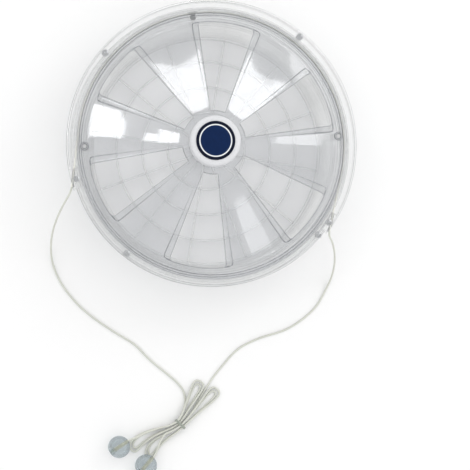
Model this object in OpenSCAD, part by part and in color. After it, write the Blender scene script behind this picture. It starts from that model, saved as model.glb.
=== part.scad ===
// Round window ventilator worked by two pull cords. It is clamped in a round hole in a pane:
// a clear room-side frame with a turning shutter, and an outdoor cowl with a ring grille.
// It lies on its outdoor face, as photographed: +Z points into the room and z = 0 is the
// outdoor face. The origin is on the axis of the hole. +Y is up when it hangs in a window.

/* [Pane and clamping] */
// Diameter of the hole that is cut in the pane
hole_d = 196; // [190:1:197]
// Thickness of the pane
pane_t = 6; // [3:0.5:12]
// Radial play of the sleeve in the hole
sleeve_gap = 1.5; // [1:0.1:2.5]
// Wall of the sleeve
sleeve_wall = 2; // [1.5:0.1:2.2]
// How far the sleeve reaches into the outdoor cowl
sleeve_reach = 9; // [5:0.5:12]
// Thickness of each gasket
gasket_t = 2; // [1:0.25:4]
// Width of each gasket ring
gasket_w = 7.5; // [5:0.5:8]

/* [Room-side frame] */
// How far the rim reaches past the hole along the cord arc
rim_margin = 12; // [11.5:0.25:15]
// How much further in the rim lies below the cord exits
rim_step = 2.4; // [1.6:0.1:2.6]
// Thickness of the two clamping flanges
flange_t = 3; // [2.8:0.1:4]
// Height of the upright walls on the frame
wall_h = 5.5; // [5.5:0.1:7]
// Thickness of the upright walls
wall_t = 1.4; // [1:0.1:1.6]
// Thickness of the cover ring
cover_t = 1.8; // [1.4:0.1:3]

/* [Shutter] */
// Thickness of the shutter and of the fixed plate
sheet_t = 1.6; // [1.2:0.1:2]
// Slope of the cone in degrees
cone_angle = 13; // [8:0.5:16]
// Number of air openings in each of the two discs
openings = 6; // [5:1:6]
// Width of one opening in degrees
opening_angle = 27; // [22:0.5:27]
// How far the openings stay inside the foot of the cone
opening_margin = 1.1; // [1.1:0.1:6]
// Radius at which the cones meet the hub
hub_r = 24; // [21:0.5:30]
// Corner radius of the openings
corner_r = 3; // [1:0.25:5]
// Width of the raised lip beside an opening in degrees
lip_angle = 3; // [1.5:0.25:3]
// Height of the raised lip
lip_h = 1.1; // [0.6:0.1:2]
// Gap between the shutter and the fixed plate
plate_gap = 1; // [0.6:0.1:2]
// How far the shutter turns from open to closed, in degrees
closing_turn = 30; // [26:1:30]
// How far the grooved edge of the shutter reaches past the bore of the sleeve
edge_margin = 7.5; // [7.2:0.1:7.8]

/* [Cord] */
// Diameter of the pull cord
cord_d = 1.5; // [1.2:0.1:1.6]
// Direction of the middle of the cord arc, in degrees from +X
arc_middle = 80; // [76:1:84]
// Half of the arc between the two cord exits, in degrees
exit_half = 116; // [112:1:118]
// Direction of the cord anchor on the shutter, in degrees from +X
anchor_at = 98; // [94:1:102]
// Diameter of the pull balls
ball_d = 17; // [15:0.5:20]
// Turns of each cord in the tied hank
hank_turns = 2; // [1:1:2]

/* [Hub] */
// Diameter of the hub cap
cap_d = 38; // [34:0.5:44]
// Height of the hub cap
cap_h = 10.5; // [9.5:0.25:14]
// Diameter of the round plate on the hub cap
badge_d = 29.2; // [20:0.2:31]
// Thickness of that plate
badge_t = 0.6; // [0.4:0.1:1.2]
// Diameter of the clamping bolt
bolt_d = 6; // [5:0.5:6.5]
// Outer diameter of the pivot bush
bush_d = 12; // [11:0.25:14]
// Length of the shutter's bearing on the bush
bearing_h = 5; // [4:0.25:7]

/* [Outdoor cowl] */
// How far the cowl stands out of the pane's outdoor side
cowl_h = 34; // [30:1:50]
// How much narrower the cowl is at its outdoor end, all round
cowl_taper = 7.4; // [5:0.2:11]
// Wall of the cowl
cowl_wall = 2; // [1.6:0.1:2.6]
// How far the outdoor flange reaches past the hole
cowl_flange_margin = 9; // [8.5:0.25:12]
// Number of grille rings
ring_count = 3; // [2:1:3]
// Width of a grille ring
ring_w = 1.6; // [1.2:0.1:2.4]
// Number of radial grille bars
bar_count = 12; // [6:1:16]
// Width of a grille bar
bar_w = 1.4; // [1:0.1:2]
// Depth of the grille rings and bars
grille_h = 4.5; // [3:0.25:6]

/* [Hidden] */
$fn = 96;
eps = 0.01;
run = 0.08;         // radial play of the shutter on its bush
fit = 0.05;         // play of pieces that are fitted and stay put
play = 0.6;         // gap above and below the shutter's edge
side_play = 0.8;    // gap between the shutter's edge and the wall round it

// Heights, from the outdoor face to the room
cowl_top = cowl_h + flange_t;
pane_low = cowl_top + gasket_t;
pane_high = pane_low + pane_t;
frame_low = pane_high + gasket_t;
frame_top = frame_low + flange_t;
wall_top = frame_top + wall_h;
cover_top = wall_top + cover_t;
edge_low = frame_top + play;
edge_high = wall_top - play;
cord_z = (edge_low + edge_high) / 2;
band_low = cord_z - sheet_t / 2;
band_high = cord_z + sheet_t / 2;

// Radii
sleeve_r = hole_d / 2 - sleeve_gap;
sleeve_in = sleeve_r - sleeve_wall;
rim_r = hole_d / 2 + rim_margin;
low_rim_r = rim_r - rim_step;
edge_r = sleeve_in + edge_margin;
cord_run_r = edge_r - 1;
groove_gap = 0.25;
groove_r = cord_run_r - cord_d / 2 - groove_gap;
groove_w = cord_d + 1;
edge_in = edge_r - 3.4;
wall_in = edge_r + side_play;
wall_out = wall_in + 1.2;
cover_in = edge_r - 1.4;

// The cone: its height above the shutter's band at a radius
cone_r = sleeve_in + 0.1;
opening_r = cone_r - opening_margin;
function rise(r) = (cone_r - r) * tan(cone_angle);
shutter_hub_low = band_low + rise(hub_r);
shutter_hub_high = shutter_hub_low + sheet_t;
plate_hub_high = shutter_hub_low - plate_gap;
plate_hub_low = plate_hub_high - sheet_t;
pitch_angle = 360 / openings;
first_opening = 22.5;

// The stack on the bolt
bearing_top = shutter_hub_low + bearing_h;
bush_top = bearing_top + 0.8;
washer_t = 1.2;
washer_top = bush_top + washer_t;
head_h = 4;
head_af = bolt_d * 10 / 6;
bolt_hole_d = bolt_d + 0.2;
cap_low = shutter_hub_high + 0.75;
cap_top = cap_low + cap_h;
cap_wall = 1.8;
cap_round = 2.6;

// Outdoor hub
nut_h = bolt_d * 5 / 6;
nut_washer_t = 1.1;
bolt_end = 0.6;
pocket_d = bolt_d + 8.4;
pocket_h = bolt_end + 0.3 + nut_h + nut_washer_t;
boss_r = pocket_d / 2 + 2.3;
boss_h = pocket_h + 7;
lip_z = 1.5;
lip_w = 1.9;
socket_gap = 0.4;
socket_r = sleeve_r + socket_gap;
cowl_end_r = socket_r + cowl_wall - cowl_taper;
cowl_flange_r = hole_d / 2 + cowl_flange_margin;
cowl_shoulder = cowl_h - 10;
grille_low = lip_z;
grille_turn = 20;
function cowl_in(z) = cowl_end_r - cowl_wall
    + (socket_r - cowl_end_r + cowl_wall) * z / cowl_shoulder;
grille_r = cowl_in(lip_z) - 0.2;
ring_start = 10;
ring_pitch = (cowl_in(lip_z) - ring_start) / (ring_count + 1);

// Screws: the four of the cover ring, at their directions and radii
boss_d = 4.4;
boss_drop = 0.1;    // how far the bosses stay below the cover ring
screw_upper_r = wall_out + boss_d / 2 - 0.4;
screw_lower_r = (wall_in + low_rim_r) / 2;
cover_screw_places = [
    [50.5, screw_upper_r], [139.5, screw_upper_r], [231.5, screw_lower_r], [319, screw_lower_r]
];
screw_d = 2.4;
screw_head_d = 5;
screw_head_h = 1.4;

// Cord guides: the sectors beside the exits, measured from the middle of the arc
guide_from = exit_half - 6.2;
guide_to = exit_half + 2.2;
guide_in = wall_out + 0.3;
guide_bore_d = cord_d + 0.7;
guide_screw_d = 1.8;
guide_head_d = 4.8;
leave_half = acos(cord_run_r / rim_r);
tangent_half = exit_half - leave_half;
tangent_run = sqrt(rim_r * rim_r - cord_run_r * cord_run_r);
exit_stub = 1.4;
guide_screw_r = rim_r - 4;
guide_screw_half = tangent_half + acos((cord_run_r - 2.5) / guide_screw_r);

// Stop pins on the shutter and their grooves in the frame
stop_places = [3.6, 180.9];
stop_r = (sleeve_in + edge_in) / 2 - 0.15;
stop_pin_d = 2.4;
stop_head_d = 6.6;
stop_groove_d = 3.2;
stop_groove_h = 1.7;

// Anchor
anchor_half = 2;
anchor_screw_r = edge_r - 4.3;
anchor_screw_d = 2.2;

// Hank: two cords, each laid in long nested loops that are drawn in at the waist
strand_gap = 0.5;
step = cord_d + strand_gap;
layer_h = cord_d + 0.7;
rest_z = cord_d / 2;
tie_t = 0.8;
tie_w = 2.6;
tie_lift = tie_t + 0.3;
hank_rings = 24;
hank_sides = 6;
hank_first = 75;
hank_last = 105 + 360 * hank_turns;
draw_in = 0.15;     // how softly the loops start to open at the waist
pinch = 1.2;        // how late they open
blunt = 0.3;        // how round their ends are
bow = 3;            // how far the lower loops bow sideways
upper_half = 1.6;   // half width of the upper loops
lower_half = 1;     // half width of the lower loops
nest_half = 2.9;    // how much wider and longer each next loop is
nest_reach = 2.5;
seam = 0.3;         // gap between a hank and its lead or tail
// For each hank: column at the waist, length of the upper and of the lower loops and their two
// directions
left_lay = [step, 34, 40, 61, 28];
right_lay = [-step, 37, 33, 45, 40.5];

// Routes of the free cords, in millimetres. They are laid out for this rim and cord height, and
// spread with them
laid_rim_r = 110;
laid_cord_z = 52.75;
laid_rest_z = 0.75;
function laid(p) = [
    p[0] * rim_r / laid_rim_r, p[1] * rim_r / laid_rim_r,
    rest_z + (p[2] - laid_rest_z) * (cord_z - rest_z) / (laid_cord_z - laid_rest_z)
];
left_route = [
    [-110, -41, 49], [-115, -50, 40], [-119, -60, 26], [-121, -70, 12], [-121, -80, 4],
    [-119, -90, 1.5], [-113, -103, 0.8], [-104, -115, 0.75], [-94, -125, 0.75],
    [-82, -134, 0.75], [-70, -142, 0.75]
];
right_route = [
    [91.5, -73, 46], [95, -80, 35], [97.5, -88, 21], [98, -95, 9], [96.5, -102, 3.5],
    [93, -109, 1.4], [87, -120, 0.8], [77, -130, 0.75], [61, -140, 0.75], [41, -146, 0.75]
];
waist = laid([-22.5, -212, 0.75]);
// Seen from the waist, across the floor
left_near = [[-34.5, 62], [-25, 52], [-16.5, 44.5], [-6, 36]];
right_near = [[48, 59], [40.5, 52.5], [33.5, 44.5]];
// Along the hank, across it and up
left_join = [[25, 11.8, 0.75], [20, 6.8, 0.75], [15.5, 4.2, 0.85]];
right_join = [
    [45, 7, 0.75], [38, 5.6, 0.75], [31, 4.3, 0.75], [24, 2.8, 0.75], [19, 1.2, 0.75],
    [15.7, 0.2, 0.85]
];
left_tail_route = [[-19, 4, 5.7], [-26, 4.6, 6.8], [-34, 5.5, 7.8]];
right_tail_route = [[-16.5, -0.9, 5.7], [-22, -3.2, 7]];
left_ball_at = [waist[0] - 47.5, waist[1] - 16.5, ball_d / 2];
left_ball_turn = 32;
right_ball_at = [waist[0] - 27, waist[1] - 31, ball_d / 2];
right_ball_turn = 48;
ball_bore_d = cord_d + 0.8;
knot_d = 3.4;
knot_pocket_d = 4.2;
knot_pocket_h = 4.5;

// Small helpers
module ring(r1, r2, z1, z2) {
    translate([0, 0, z1])
        difference() {
            cylinder(r = r2, h = z2 - z1);
            translate([0, 0, -1])
                cylinder(r = r1, h = z2 - z1 + 2);
        }
}

module sector(r1, r2, a1, a2, z1, z2) {
    rotate([0, 0, a1])
        rotate_extrude(angle = a2 - a1)
            translate([r1, z1])
                square([r2 - r1, z2 - z1]);
}

module at_polar(a, r, z = 0) {
    rotate([0, 0, a])
        translate([r, 0, z])
            children();
}

// Plan of one air opening: a sector with rounded outer corners
module opening_plan(r1, r2, width) {
    half = width / 2;
    inset = asin(corner_r / (r2 - corner_r));
    reach = 2 * r2;
    intersection() {
        difference() {
            circle(r = r2 - corner_r);
            circle(r = r1);
        }
        polygon([[0, 0], [reach * cos(half), -reach * sin(half)],
            [reach * cos(half), reach * sin(half)]]);
    }
    intersection() {
        circle(r = r2);
        difference() {
            polygon([[0, 0], [reach * cos(half - inset), -reach * sin(half - inset)],
                [reach * cos(half - inset), reach * sin(half - inset)]]);
            circle(r = r1 + corner_r);
        }
    }
    for (side = [-1, 1])
        rotate(side * (half - inset))
            translate([r2 - corner_r, 0])
                circle(r = corner_r, $fn = 32);
}

module opening_cuts(z1, z2) {
    for (i = [0 : openings - 1])
        rotate([0, 0, first_opening + i * pitch_angle])
            translate([0, 0, z1])
                linear_extrude(z2 - z1)
                    opening_plan(hub_r, opening_r, opening_angle);
}

// Half profile of a conical sheet between the hub and the band
module cone_profile(low, thick) {
    polygon([[hub_r - eps, low + rise(hub_r)], [cone_r, low], [cone_r, low + thick],
        [hub_r - eps, low + rise(hub_r) + thick]]);
}

// Geometry of the cord arc, with its middle on +X and the left side at positive angles
module cord_side(side) {
    rotate([0, 0, arc_middle])
        mirror([0, side > 0 ? 1 : 0, 0])
            children();
}

module along_tangent(from) {
    rotate([0, 0, tangent_half])
        translate([cord_run_r, from, cord_z])
            rotate([-90, 0, 0])
                children();
}

// Where a cord leaves its guide: side is -1 on the left and 1 on the right
function cord_point(side, further = 0) =
    let (a = arc_middle - side * tangent_half, run = tangent_run + exit_stub + further)
    [cord_run_r * cos(a) + side * run * sin(a), cord_run_r * sin(a) - side * run * cos(a), cord_z];

// Room-side frame
module front_frame() {
    color([0.86, 0.9, 0.91, 0.35])
        difference() {
            union() {
                difference() {
                    rotate_extrude()
                        frame_profile();
                    rotate([0, 0, arc_middle])
                        rim_cuts();
                }
                for (p = cover_screw_places)
                    at_polar(p[0], p[1], frame_top - 0.5)
                        cylinder(d = boss_d, h = wall_h + 0.5 - boss_drop, $fn = 32);
            }
            opening_cuts(frame_low - 4, plate_hub_high + 5);
            for (p = cover_screw_places)
                at_polar(p[0], p[1], frame_top + 0.6)
                    cylinder(d = screw_d + 2 * fit, h = wall_h, $fn = 32);
            for (a = stop_places)
                stop_groove(a);
            for (side = [-1, 1])
                cord_side(side) {
                    rotate([0, 0, tangent_half])
                        translate([cord_run_r - groove_w / 2, 0, frame_top + 0.2])
                            cube([groove_w, tangent_run - 2, wall_h + 1]);
                    guide_screw_hole();
                }
        }
}

// Section of the frame before its rim is cut: the outer wall is still as thick as both its steps
module frame_profile() {
    translate([sleeve_in, frame_low])
        square([rim_r - sleeve_in, flange_t]);
    translate([sleeve_in, cowl_top - sleeve_reach])
        square([sleeve_wall, frame_low + 1 - cowl_top + sleeve_reach]);
    translate([wall_in, frame_top - eps])
        square([wall_out - wall_in, wall_h + eps]);
    translate([low_rim_r - wall_t, frame_top - eps])
        square([rim_step + wall_t, wall_h + eps]);
    cone_profile(band_low - plate_gap - sheet_t, sheet_t);
    translate([bolt_hole_d / 2, plate_hub_low])
        square([hub_r - bolt_hole_d / 2, sheet_t]);
    translate([bolt_hole_d / 2, plate_hub_low - 5])
        square([4, 5 + eps]);
}

// What is cut from the rim: inside the wall along the cord arc, both seats of the cord guides,
// and outside the wall below them
module rim_cuts() {
    sector(wall_out + 0.4, rim_r - wall_t, -guide_from - 1, guide_from + 1, frame_top, wall_top + 1);
    for (side = [-1, 1])
        mirror([0, side > 0 ? 1 : 0, 0])
            sector(wall_out + 0.8, rim_r + 1, guide_from, guide_to + 0.3, frame_top, wall_top + 1);
    sector(low_rim_r, rim_r + 2, guide_to, 360 - guide_to, frame_low - 1, wall_top + 2);
}

module stop_groove(a) {
    spare = asin(stop_groove_d / 2 / stop_r);
    sector(stop_r - stop_groove_d / 2, stop_r + stop_groove_d / 2, a - closing_turn - spare,
        a + spare, frame_top - stop_groove_h, frame_top + 1);
}

module guide_screw_hole() {
    at_polar(guide_screw_half, guide_screw_r, frame_low + 0.8)
        cylinder(d = guide_screw_d + 2 * fit, h = flange_t, $fn = 32);
}

// Ring that holds the shutter's edge and closes the cord channel
module cover_ring() {
    color([0.88, 0.91, 0.92, 0.35])
        difference() {
            union() {
                ring(cover_in, low_rim_r, wall_top, cover_top);
                rotate([0, 0, arc_middle])
                    sector(low_rim_r - 1, rim_r, -guide_from, guide_from, wall_top, cover_top);
            }
            rotate([0, 0, arc_middle])
                for (side = [-1, 1])
                    mirror([0, side > 0 ? 1 : 0, 0])
                        sector(guide_in - fit, rim_r + 1, guide_from, guide_to + 0.2,
                            wall_top - 1, cover_top + 1);
            for (p = cover_screw_places)
                at_polar(p[0], p[1], wall_top - 1)
                    cylinder(d = screw_d + 0.4, h = cover_t + 2, $fn = 32);
        }
}

module pan_screw(d, head_d, head_h, length) {
    difference() {
        union() {
            translate([0, 0, -length])
                cylinder(d = d, h = length + eps, $fn = 32);
            cylinder(d1 = head_d, d2 = head_d - 1, h = head_h, $fn = 32);
        }
        translate([-head_d, -0.35, head_h - 0.6])
            cube([2 * head_d, 0.7, 1]);
    }
}

module cover_screws() {
    color([0.8, 0.82, 0.83])
        for (p = cover_screw_places)
            at_polar(p[0], p[1], cover_top)
                pan_screw(screw_d, screw_head_d, screw_head_h, cover_t + wall_h - 1);
}

// Block that leads the cord out of the rim
module cord_guide(side) {
    color([0.9, 0.92, 0.93, 0.5])
        cord_side(side)
            difference() {
                sector(guide_in, rim_r, guide_from + 0.1, guide_to, frame_top, cover_top);
                along_tangent(0)
                    cylinder(d = guide_bore_d, h = tangent_run + 5, $fn = 32);
                along_tangent(tangent_run - 1.6)
                    cylinder(d1 = guide_bore_d, d2 = guide_bore_d + 2.4, h = 3, $fn = 32);
                at_polar(guide_screw_half, guide_screw_r, frame_top - 1)
                    cylinder(d = guide_screw_d + 2 * fit, h = 12, $fn = 32);
            }
}

module guide_screws() {
    color([0.8, 0.82, 0.83])
        for (side = [-1, 1])
            cord_side(side)
                at_polar(guide_screw_half, guide_screw_r, cover_top)
                    pan_screw(guide_screw_d, guide_head_d, 1.3, cover_t + wall_h + 1.6);
}

module front_gasket() {
    color([0.85, 0.87, 0.87, 0.6])
        ring(sleeve_r + 2, sleeve_r + 2 + gasket_w, pane_high, frame_low);
}

module rear_gasket() {
    color([0.85, 0.87, 0.87, 0.6])
        ring(sleeve_r + 2, sleeve_r + 2 + gasket_w, cowl_top, pane_low);
}

// Turning shutter with a grooved edge for the cord
module shutter() {
    color([0.84, 0.88, 0.9, 0.35])
        difference() {
            union() {
                rotate_extrude()
                    difference() {
                        union() {
                            cone_profile(band_low, sheet_t);
                            translate([cone_r - eps, band_low])
                                square([edge_in - cone_r + 2 * eps, sheet_t]);
                            translate([edge_in, edge_low])
                                square([edge_r - edge_in, edge_high - edge_low]);
                            translate([bush_d / 2 + run, shutter_hub_low])
                                square([hub_r - bush_d / 2 - run, sheet_t]);
                            translate([bush_d / 2 + run, shutter_hub_low])
                                square([4.5, bearing_h]);
                        }
                        translate([groove_r, cord_z - groove_w / 2])
                            square([edge_r, groove_w]);
                    }
                opening_lips();
            }
            opening_cuts(band_low - 2, shutter_hub_high + 3);
            rotate([0, 0, anchor_at]) {
                sector(edge_in - eps, edge_r + 1, -anchor_half - 0.2, anchor_half + 0.2,
                    band_high, edge_high + 1);
                sector(groove_r, edge_r + 1, -anchor_half - 0.2, anchor_half + 0.2,
                    cord_z - groove_w / 2, edge_high + 1);
                translate([anchor_screw_r, 0, band_low - 1])
                    cylinder(d = anchor_screw_d + 2 * fit, h = sheet_t + 2, $fn = 32);
            }
            for (a = stop_places)
                at_polar(a, stop_r, band_low - 1)
                    cylinder(d = stop_pin_d + 2 * fit, h = sheet_t + 2, $fn = 32);
        }
}

// Raised lips along both straight edges of every opening
module opening_lips() {
    intersection() {
        rotate_extrude()
            polygon([[hub_r + 2, band_high - eps + rise(hub_r + 2)],
                [opening_r, band_high - eps + rise(opening_r)],
                [opening_r, band_high + lip_h + rise(opening_r)],
                [hub_r + 2, band_high + lip_h + rise(hub_r + 2)]]);
        union() {
            for (i = [0 : openings - 1])
                for (side = [-1, 1])
                    rotate([0, 0, first_opening + i * pitch_angle
                        + side * (opening_angle / 2 - 0.5) - (side > 0 ? 0 : lip_angle + 0.5)])
                        sector(hub_r, opening_r + 1, 0, lip_angle + 1,
                            band_low, shutter_hub_high + 5);
        }
    }
}

// Lug in the shutter's edge that the cord is clamped in
module cord_anchor() {
    color([0.9, 0.92, 0.93, 0.6])
        difference() {
            rotate([0, 0, anchor_at]) {
                sector(edge_in - 3.2, edge_r - fit, -anchor_half, anchor_half, band_high, edge_high);
                sector(groove_r + fit, edge_r - fit, -anchor_half, anchor_half,
                    cord_z - groove_w / 2 + fit, band_high + eps);
            }
            rotate_extrude()
                translate([cord_run_r, cord_z])
                    circle(d = cord_d + 0.4, $fn = 32);
            at_polar(anchor_at, anchor_screw_r, band_low)
                cylinder(d = anchor_screw_d + 2 * fit, h = 9, $fn = 32);
        }
}

module anchor_screw() {
    color([0.8, 0.82, 0.83])
        at_polar(anchor_at, anchor_screw_r, edge_high)
            pan_screw(anchor_screw_d, 4.8, 1.3, edge_high - band_low);
}

module stop_pins() {
    color([0.85, 0.88, 0.89, 0.6])
        for (a = stop_places)
            at_polar(a, stop_r) {
                translate([0, 0, frame_top - stop_groove_h + 0.4])
                    cylinder(d = stop_pin_d, h = band_high - frame_top + stop_groove_h, $fn = 32);
                translate([0, 0, band_high])
                    cylinder(d = 4.2, h = edge_high - band_high + 0.1 + eps, $fn = 32);
                translate([0, 0, edge_high + 0.1])
                    difference() {
                        cylinder(d = stop_head_d, h = 1.3, $fn = 48);
                        translate([0, 0, 0.8])
                            cylinder(d = stop_head_d - 2.4, h = 1, $fn = 48);
                    }
            }
}

module pivot_bush() {
    color([0.93, 0.93, 0.9]) {
        ring(bolt_hole_d / 2, bush_d / 2, plate_hub_high, bush_top);
        ring(bolt_hole_d / 2, bush_d / 2 + 3, plate_hub_high, shutter_hub_low - 0.03);
    }
}

// Conical spring washer that keeps the shutter down
module disc_spring() {
    r1 = bush_d / 2 + 0.3;
    r2 = r1 + 4;
    t = 0.35;
    color([0.72, 0.72, 0.74])
        rotate_extrude()
            polygon([[r1, bush_top - t - 0.03], [r1, bush_top - 0.03], [r2, bearing_top + 0.05 + t],
                [r2, bearing_top + 0.05]]);
}

module thrust_washer() {
    color([0.75, 0.75, 0.77])
        ring(bolt_hole_d / 2, bush_d / 2 + 5.5, bush_top, washer_top);
}

module clamp_bolt() {
    color([0.75, 0.76, 0.78]) {
        translate([0, 0, bolt_end])
            cylinder(d = bolt_d, h = washer_top - bolt_end + eps);
        translate([0, 0, washer_top])
            cylinder(d = head_af / cos(30), h = head_h, $fn = 6);
    }
}

// White cap over the bolt head; it stands on the thrust washer and stays still
module hub_cap() {
    outer = cap_d / 2;
    foot_in = head_af / 2 / cos(30) + 0.3;
    color([0.95, 0.95, 0.93])
        rotate_extrude() {
            difference() {
                union() {
                    translate([0, cap_low])
                        square([outer, cap_h - cap_round]);
                    translate([0, cap_low])
                        square([outer - cap_round, cap_h]);
                    translate([outer - cap_round, cap_top - cap_round])
                        circle(r = cap_round, $fn = 48);
                }
                translate([-1, cap_low - 1])
                    square([outer - cap_wall + 1, cap_h - cap_wall + 1]);
                translate([-2 * outer, cap_low - 1])
                    square([2 * outer, cap_h + 4]);
            }
            translate([foot_in, washer_top])
                square([2.4, cap_top - cap_wall - washer_top + eps]);
        }
}

module hub_badge() {
    color([0.12, 0.18, 0.42])
        translate([0, 0, cap_top])
            cylinder(d = badge_d, h = badge_t);
}

// Outdoor cowl: a tapered tube with a clamping flange
module rear_cowl() {
    color([0.86, 0.9, 0.91, 0.35])
        rotate_extrude()
            polygon([
                [cowl_in(lip_z) - lip_w, 0], [cowl_end_r, 0],
                [socket_r + cowl_wall, cowl_shoulder], [socket_r + cowl_wall, cowl_h],
                [cowl_flange_r - 1, cowl_h], [cowl_flange_r, cowl_h + 1], [cowl_flange_r, cowl_top],
                [socket_r, cowl_top], [socket_r, cowl_shoulder],
                [cowl_in(lip_z), lip_z], [cowl_in(lip_z) - lip_w, lip_z]
            ]);
}

// Grille of rings and bars with the boss that takes the bolt
module rear_grille() {
    color([0.86, 0.9, 0.91, 0.35])
        difference() {
            union() {
                for (i = [1 : ring_count])
                    ring(ring_start + i * ring_pitch - ring_w / 2,
                        ring_start + i * ring_pitch + ring_w / 2,
                        grille_low, grille_low + grille_h);
                ring(grille_r - 2.2, grille_r, grille_low, grille_low + grille_h);
                for (i = [0 : bar_count - 1])
                    rotate([0, 0, grille_turn + i * 360 / bar_count])
                        translate([boss_r - 1, -bar_w / 2, grille_low])
                            cube([grille_r - boss_r, bar_w, grille_h]);
                cylinder(r = boss_r, h = boss_h);
            }
            translate([0, 0, -1])
                cylinder(d = pocket_d, h = pocket_h + 1);
            cylinder(d = bolt_hole_d, h = boss_h + 1);
        }
}

module bolt_washer() {
    color([0.75, 0.75, 0.77])
        ring(bolt_hole_d / 2, bolt_d / 2 + 3.4, pocket_h - nut_washer_t, pocket_h);
}

module bolt_nut() {
    color([0.75, 0.75, 0.77])
        translate([0, 0, pocket_h - nut_washer_t - nut_h])
            difference() {
                cylinder(d = head_af / cos(30), h = nut_h, $fn = 6);
                translate([0, 0, -1])
                    cylinder(d = bolt_d + 2 * fit, h = nut_h + 2);
            }
}

// Cord that the rim holds: round the shutter's edge and out through both guides
module rim_cord() {
    color([0.9, 0.9, 0.84]) {
        rotate([0, 0, arc_middle - tangent_half])
            rotate_extrude(angle = 2 * tangent_half)
                translate([cord_run_r, cord_z])
                    circle(d = cord_d, $fn = 32);
        for (side = [-1, 1])
            cord_side(side)
                along_tangent(eps)
                    cylinder(d = cord_d, h = tangent_run + exit_stub - eps, $fn = 32);
    }
}

// A smooth curve through points, n steps to each stretch
function curve_point(a, b, c, d, t) =
    0.5 * (2 * b + (c - a) * t + (2 * a - 5 * b + 4 * c - d) * t * t
        + (3 * b - a - 3 * c + d) * t * t * t);
function curve(p, n) =
    let (last = len(p) - 1)
    [for (i = [0 : last - 1])
        for (k = [0 : (i == last - 1 ? n : n - 1)])
            curve_point(p[max(i - 1, 0)], p[i], p[i + 1], p[min(i + 2, last)], k / n)];

function unit(v) = v / norm(v);
function heading(p, i) = unit(p[min(i + 1, len(p) - 1)] - p[max(i - 1, 0)]);
function tube_ring(at, t, r, sides) =
    let (across = unit(cross(t, [0, 0, 1])), up = cross(across, t))
    [for (k = [0 : sides - 1])
        at + r * (cos(360 * (k + 0.5) / sides) * across + sin(360 * (k + 0.5) / sides) * up)];

module tube(p, d, sides) {
    n = len(p);
    points = [for (i = [0 : n - 1]) each tube_ring(p[i], heading(p, i), d / 2, sides)];
    walls = [for (i = [0 : n - 2]) for (k = [0 : sides - 1])
        let (a = i * sides + k, b = i * sides + (k + 1) % sides)
        each [[a, b, b + sides], [a, b + sides, a + sides]]];
    first = [for (k = [1 : sides - 2]) [0, k + 1, k]];
    base = (n - 1) * sides;
    last = [for (k = [1 : sides - 2]) [base, base + k, base + k + 1]];
    polyhedron(points, concat(walls, first, last));
}

// A place on a hank: u along it from the waist, positive upwards, and side across it
function smooth_abs(x, soft) = sqrt(x * x + soft * soft) - soft;
function blend(x, soft) = x / sqrt(x * x + soft * soft);
function on_hank(lay, u, side, z) =
    let (
        way = (lay[3] + lay[4]) / 2 + (lay[3] - lay[4]) / 2 * blend(u, 9),
        t = min(max(-u / lay[2], 0), 1),
        out = side + bow * 6.75 * t * t * (1 - t)
    )
    [waist[0] + u * cos(way) - out * sin(way), waist[1] + u * sin(way) + out * cos(way), z];

// One strand of a hank: its place at a running angle; 0 and 180 are the two ends of the loops
function hank_point(lay, a) =
    let (
        c = cos(a),
        turn = floor((a + 90) / 360),
        nest = c > 0 ? abs(turn - 1) : turn,
        reach = (c > 0 ? lay[1] : lay[2]) + nest_reach * nest,
        half = (c > 0 ? upper_half : lower_half) + nest_half * nest,
        u = reach * ((1 + blunt) * c - blunt * c * c * c),
        v = sin(a) * (step / 2 + 2 * half * pow(smooth_abs(c, draw_in), pinch)),
        fall = exp(-pow(u / (0.8 * reach), 4)),
        z = rest_z + layer_h * (a - hank_first) / 360 * fall + tie_lift * exp(-u * u / 120)
    )
    on_hank(lay, u, lay[0] + v, z);
function hank_path(lay) =
    let (n = ceil((hank_last - hank_first) / 360 * hank_rings))
    [for (i = [0 : n]) hank_point(lay, hank_first + (hank_last - hank_first) * i / n)];

left_hank_path = hank_path(left_lay);
right_hank_path = hank_path(right_lay);
function last_of(p) = p[len(p) - 1];
function into_ball(at, turn, from) = [at[0] + from * cos(turn), at[1] + from * sin(turn), at[2]];
bore_inner = knot_pocket_h - ball_d / 2 + 0.4;
ball_mouth = ball_d / 2 + 1.5;

// From the guide's mouth to the hank, and from the hank into the ball
function lead_path(side, route, near, join, lay, hank) =
    curve(concat([for (run = [0, 1.5, 3.5]) cord_point(side, run)], [for (p = route) laid(p)],
        [for (p = near) [waist[0] + p[0], waist[1] + p[1], rest_z]],
        [for (p = join) on_hank(lay, p[0], p[1], rest_z + p[2] - laid_rest_z)], [hank[0]]), 2);
function tail_path(route, lay, hank, ball, turn) =
    curve(concat([last_of(hank)], [for (p = route) on_hank(lay, p[0], p[1], p[2])],
        [into_ball(ball, turn, ball_mouth), into_ball(ball, turn, bore_inner)]), 2);
left_lead_path = lead_path(-1, left_route, left_near, left_join, left_lay, left_hank_path);
right_lead_path = lead_path(1, right_route, right_near, right_join, right_lay, right_hank_path);
left_tail_path = tail_path(left_tail_route, left_lay, left_hank_path, left_ball_at,
    left_ball_turn);
right_tail_path = tail_path(right_tail_route, right_lay, right_hank_path, right_ball_at,
    right_ball_turn);

// A path whose two ends stop half a seam short
function trimmed(p) =
    let (n = len(p))
    concat([p[0] + seam / 2 * unit(p[1] - p[0])], [for (i = [1 : n - 2]) p[i]],
        [p[n - 1] - seam / 2 * unit(p[n - 1] - p[n - 2])]);

// Least gap between two strands, measured on the rings' centres
function least(p, q, skip) =
    min([for (i = [0 : len(p) - 1]) for (j = [0 : len(q) - 1])
        if (skip == 0 || abs(i - j) > skip) norm(p[i] - q[j])]) - cord_d;
echo("gap of the left hank to itself", least(left_hank_path, left_hank_path, 4));
echo("gap of the right hank to itself", least(right_hank_path, right_hank_path, 4));
echo("gap between the hanks", least(left_hank_path, right_hank_path, 0));

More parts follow.
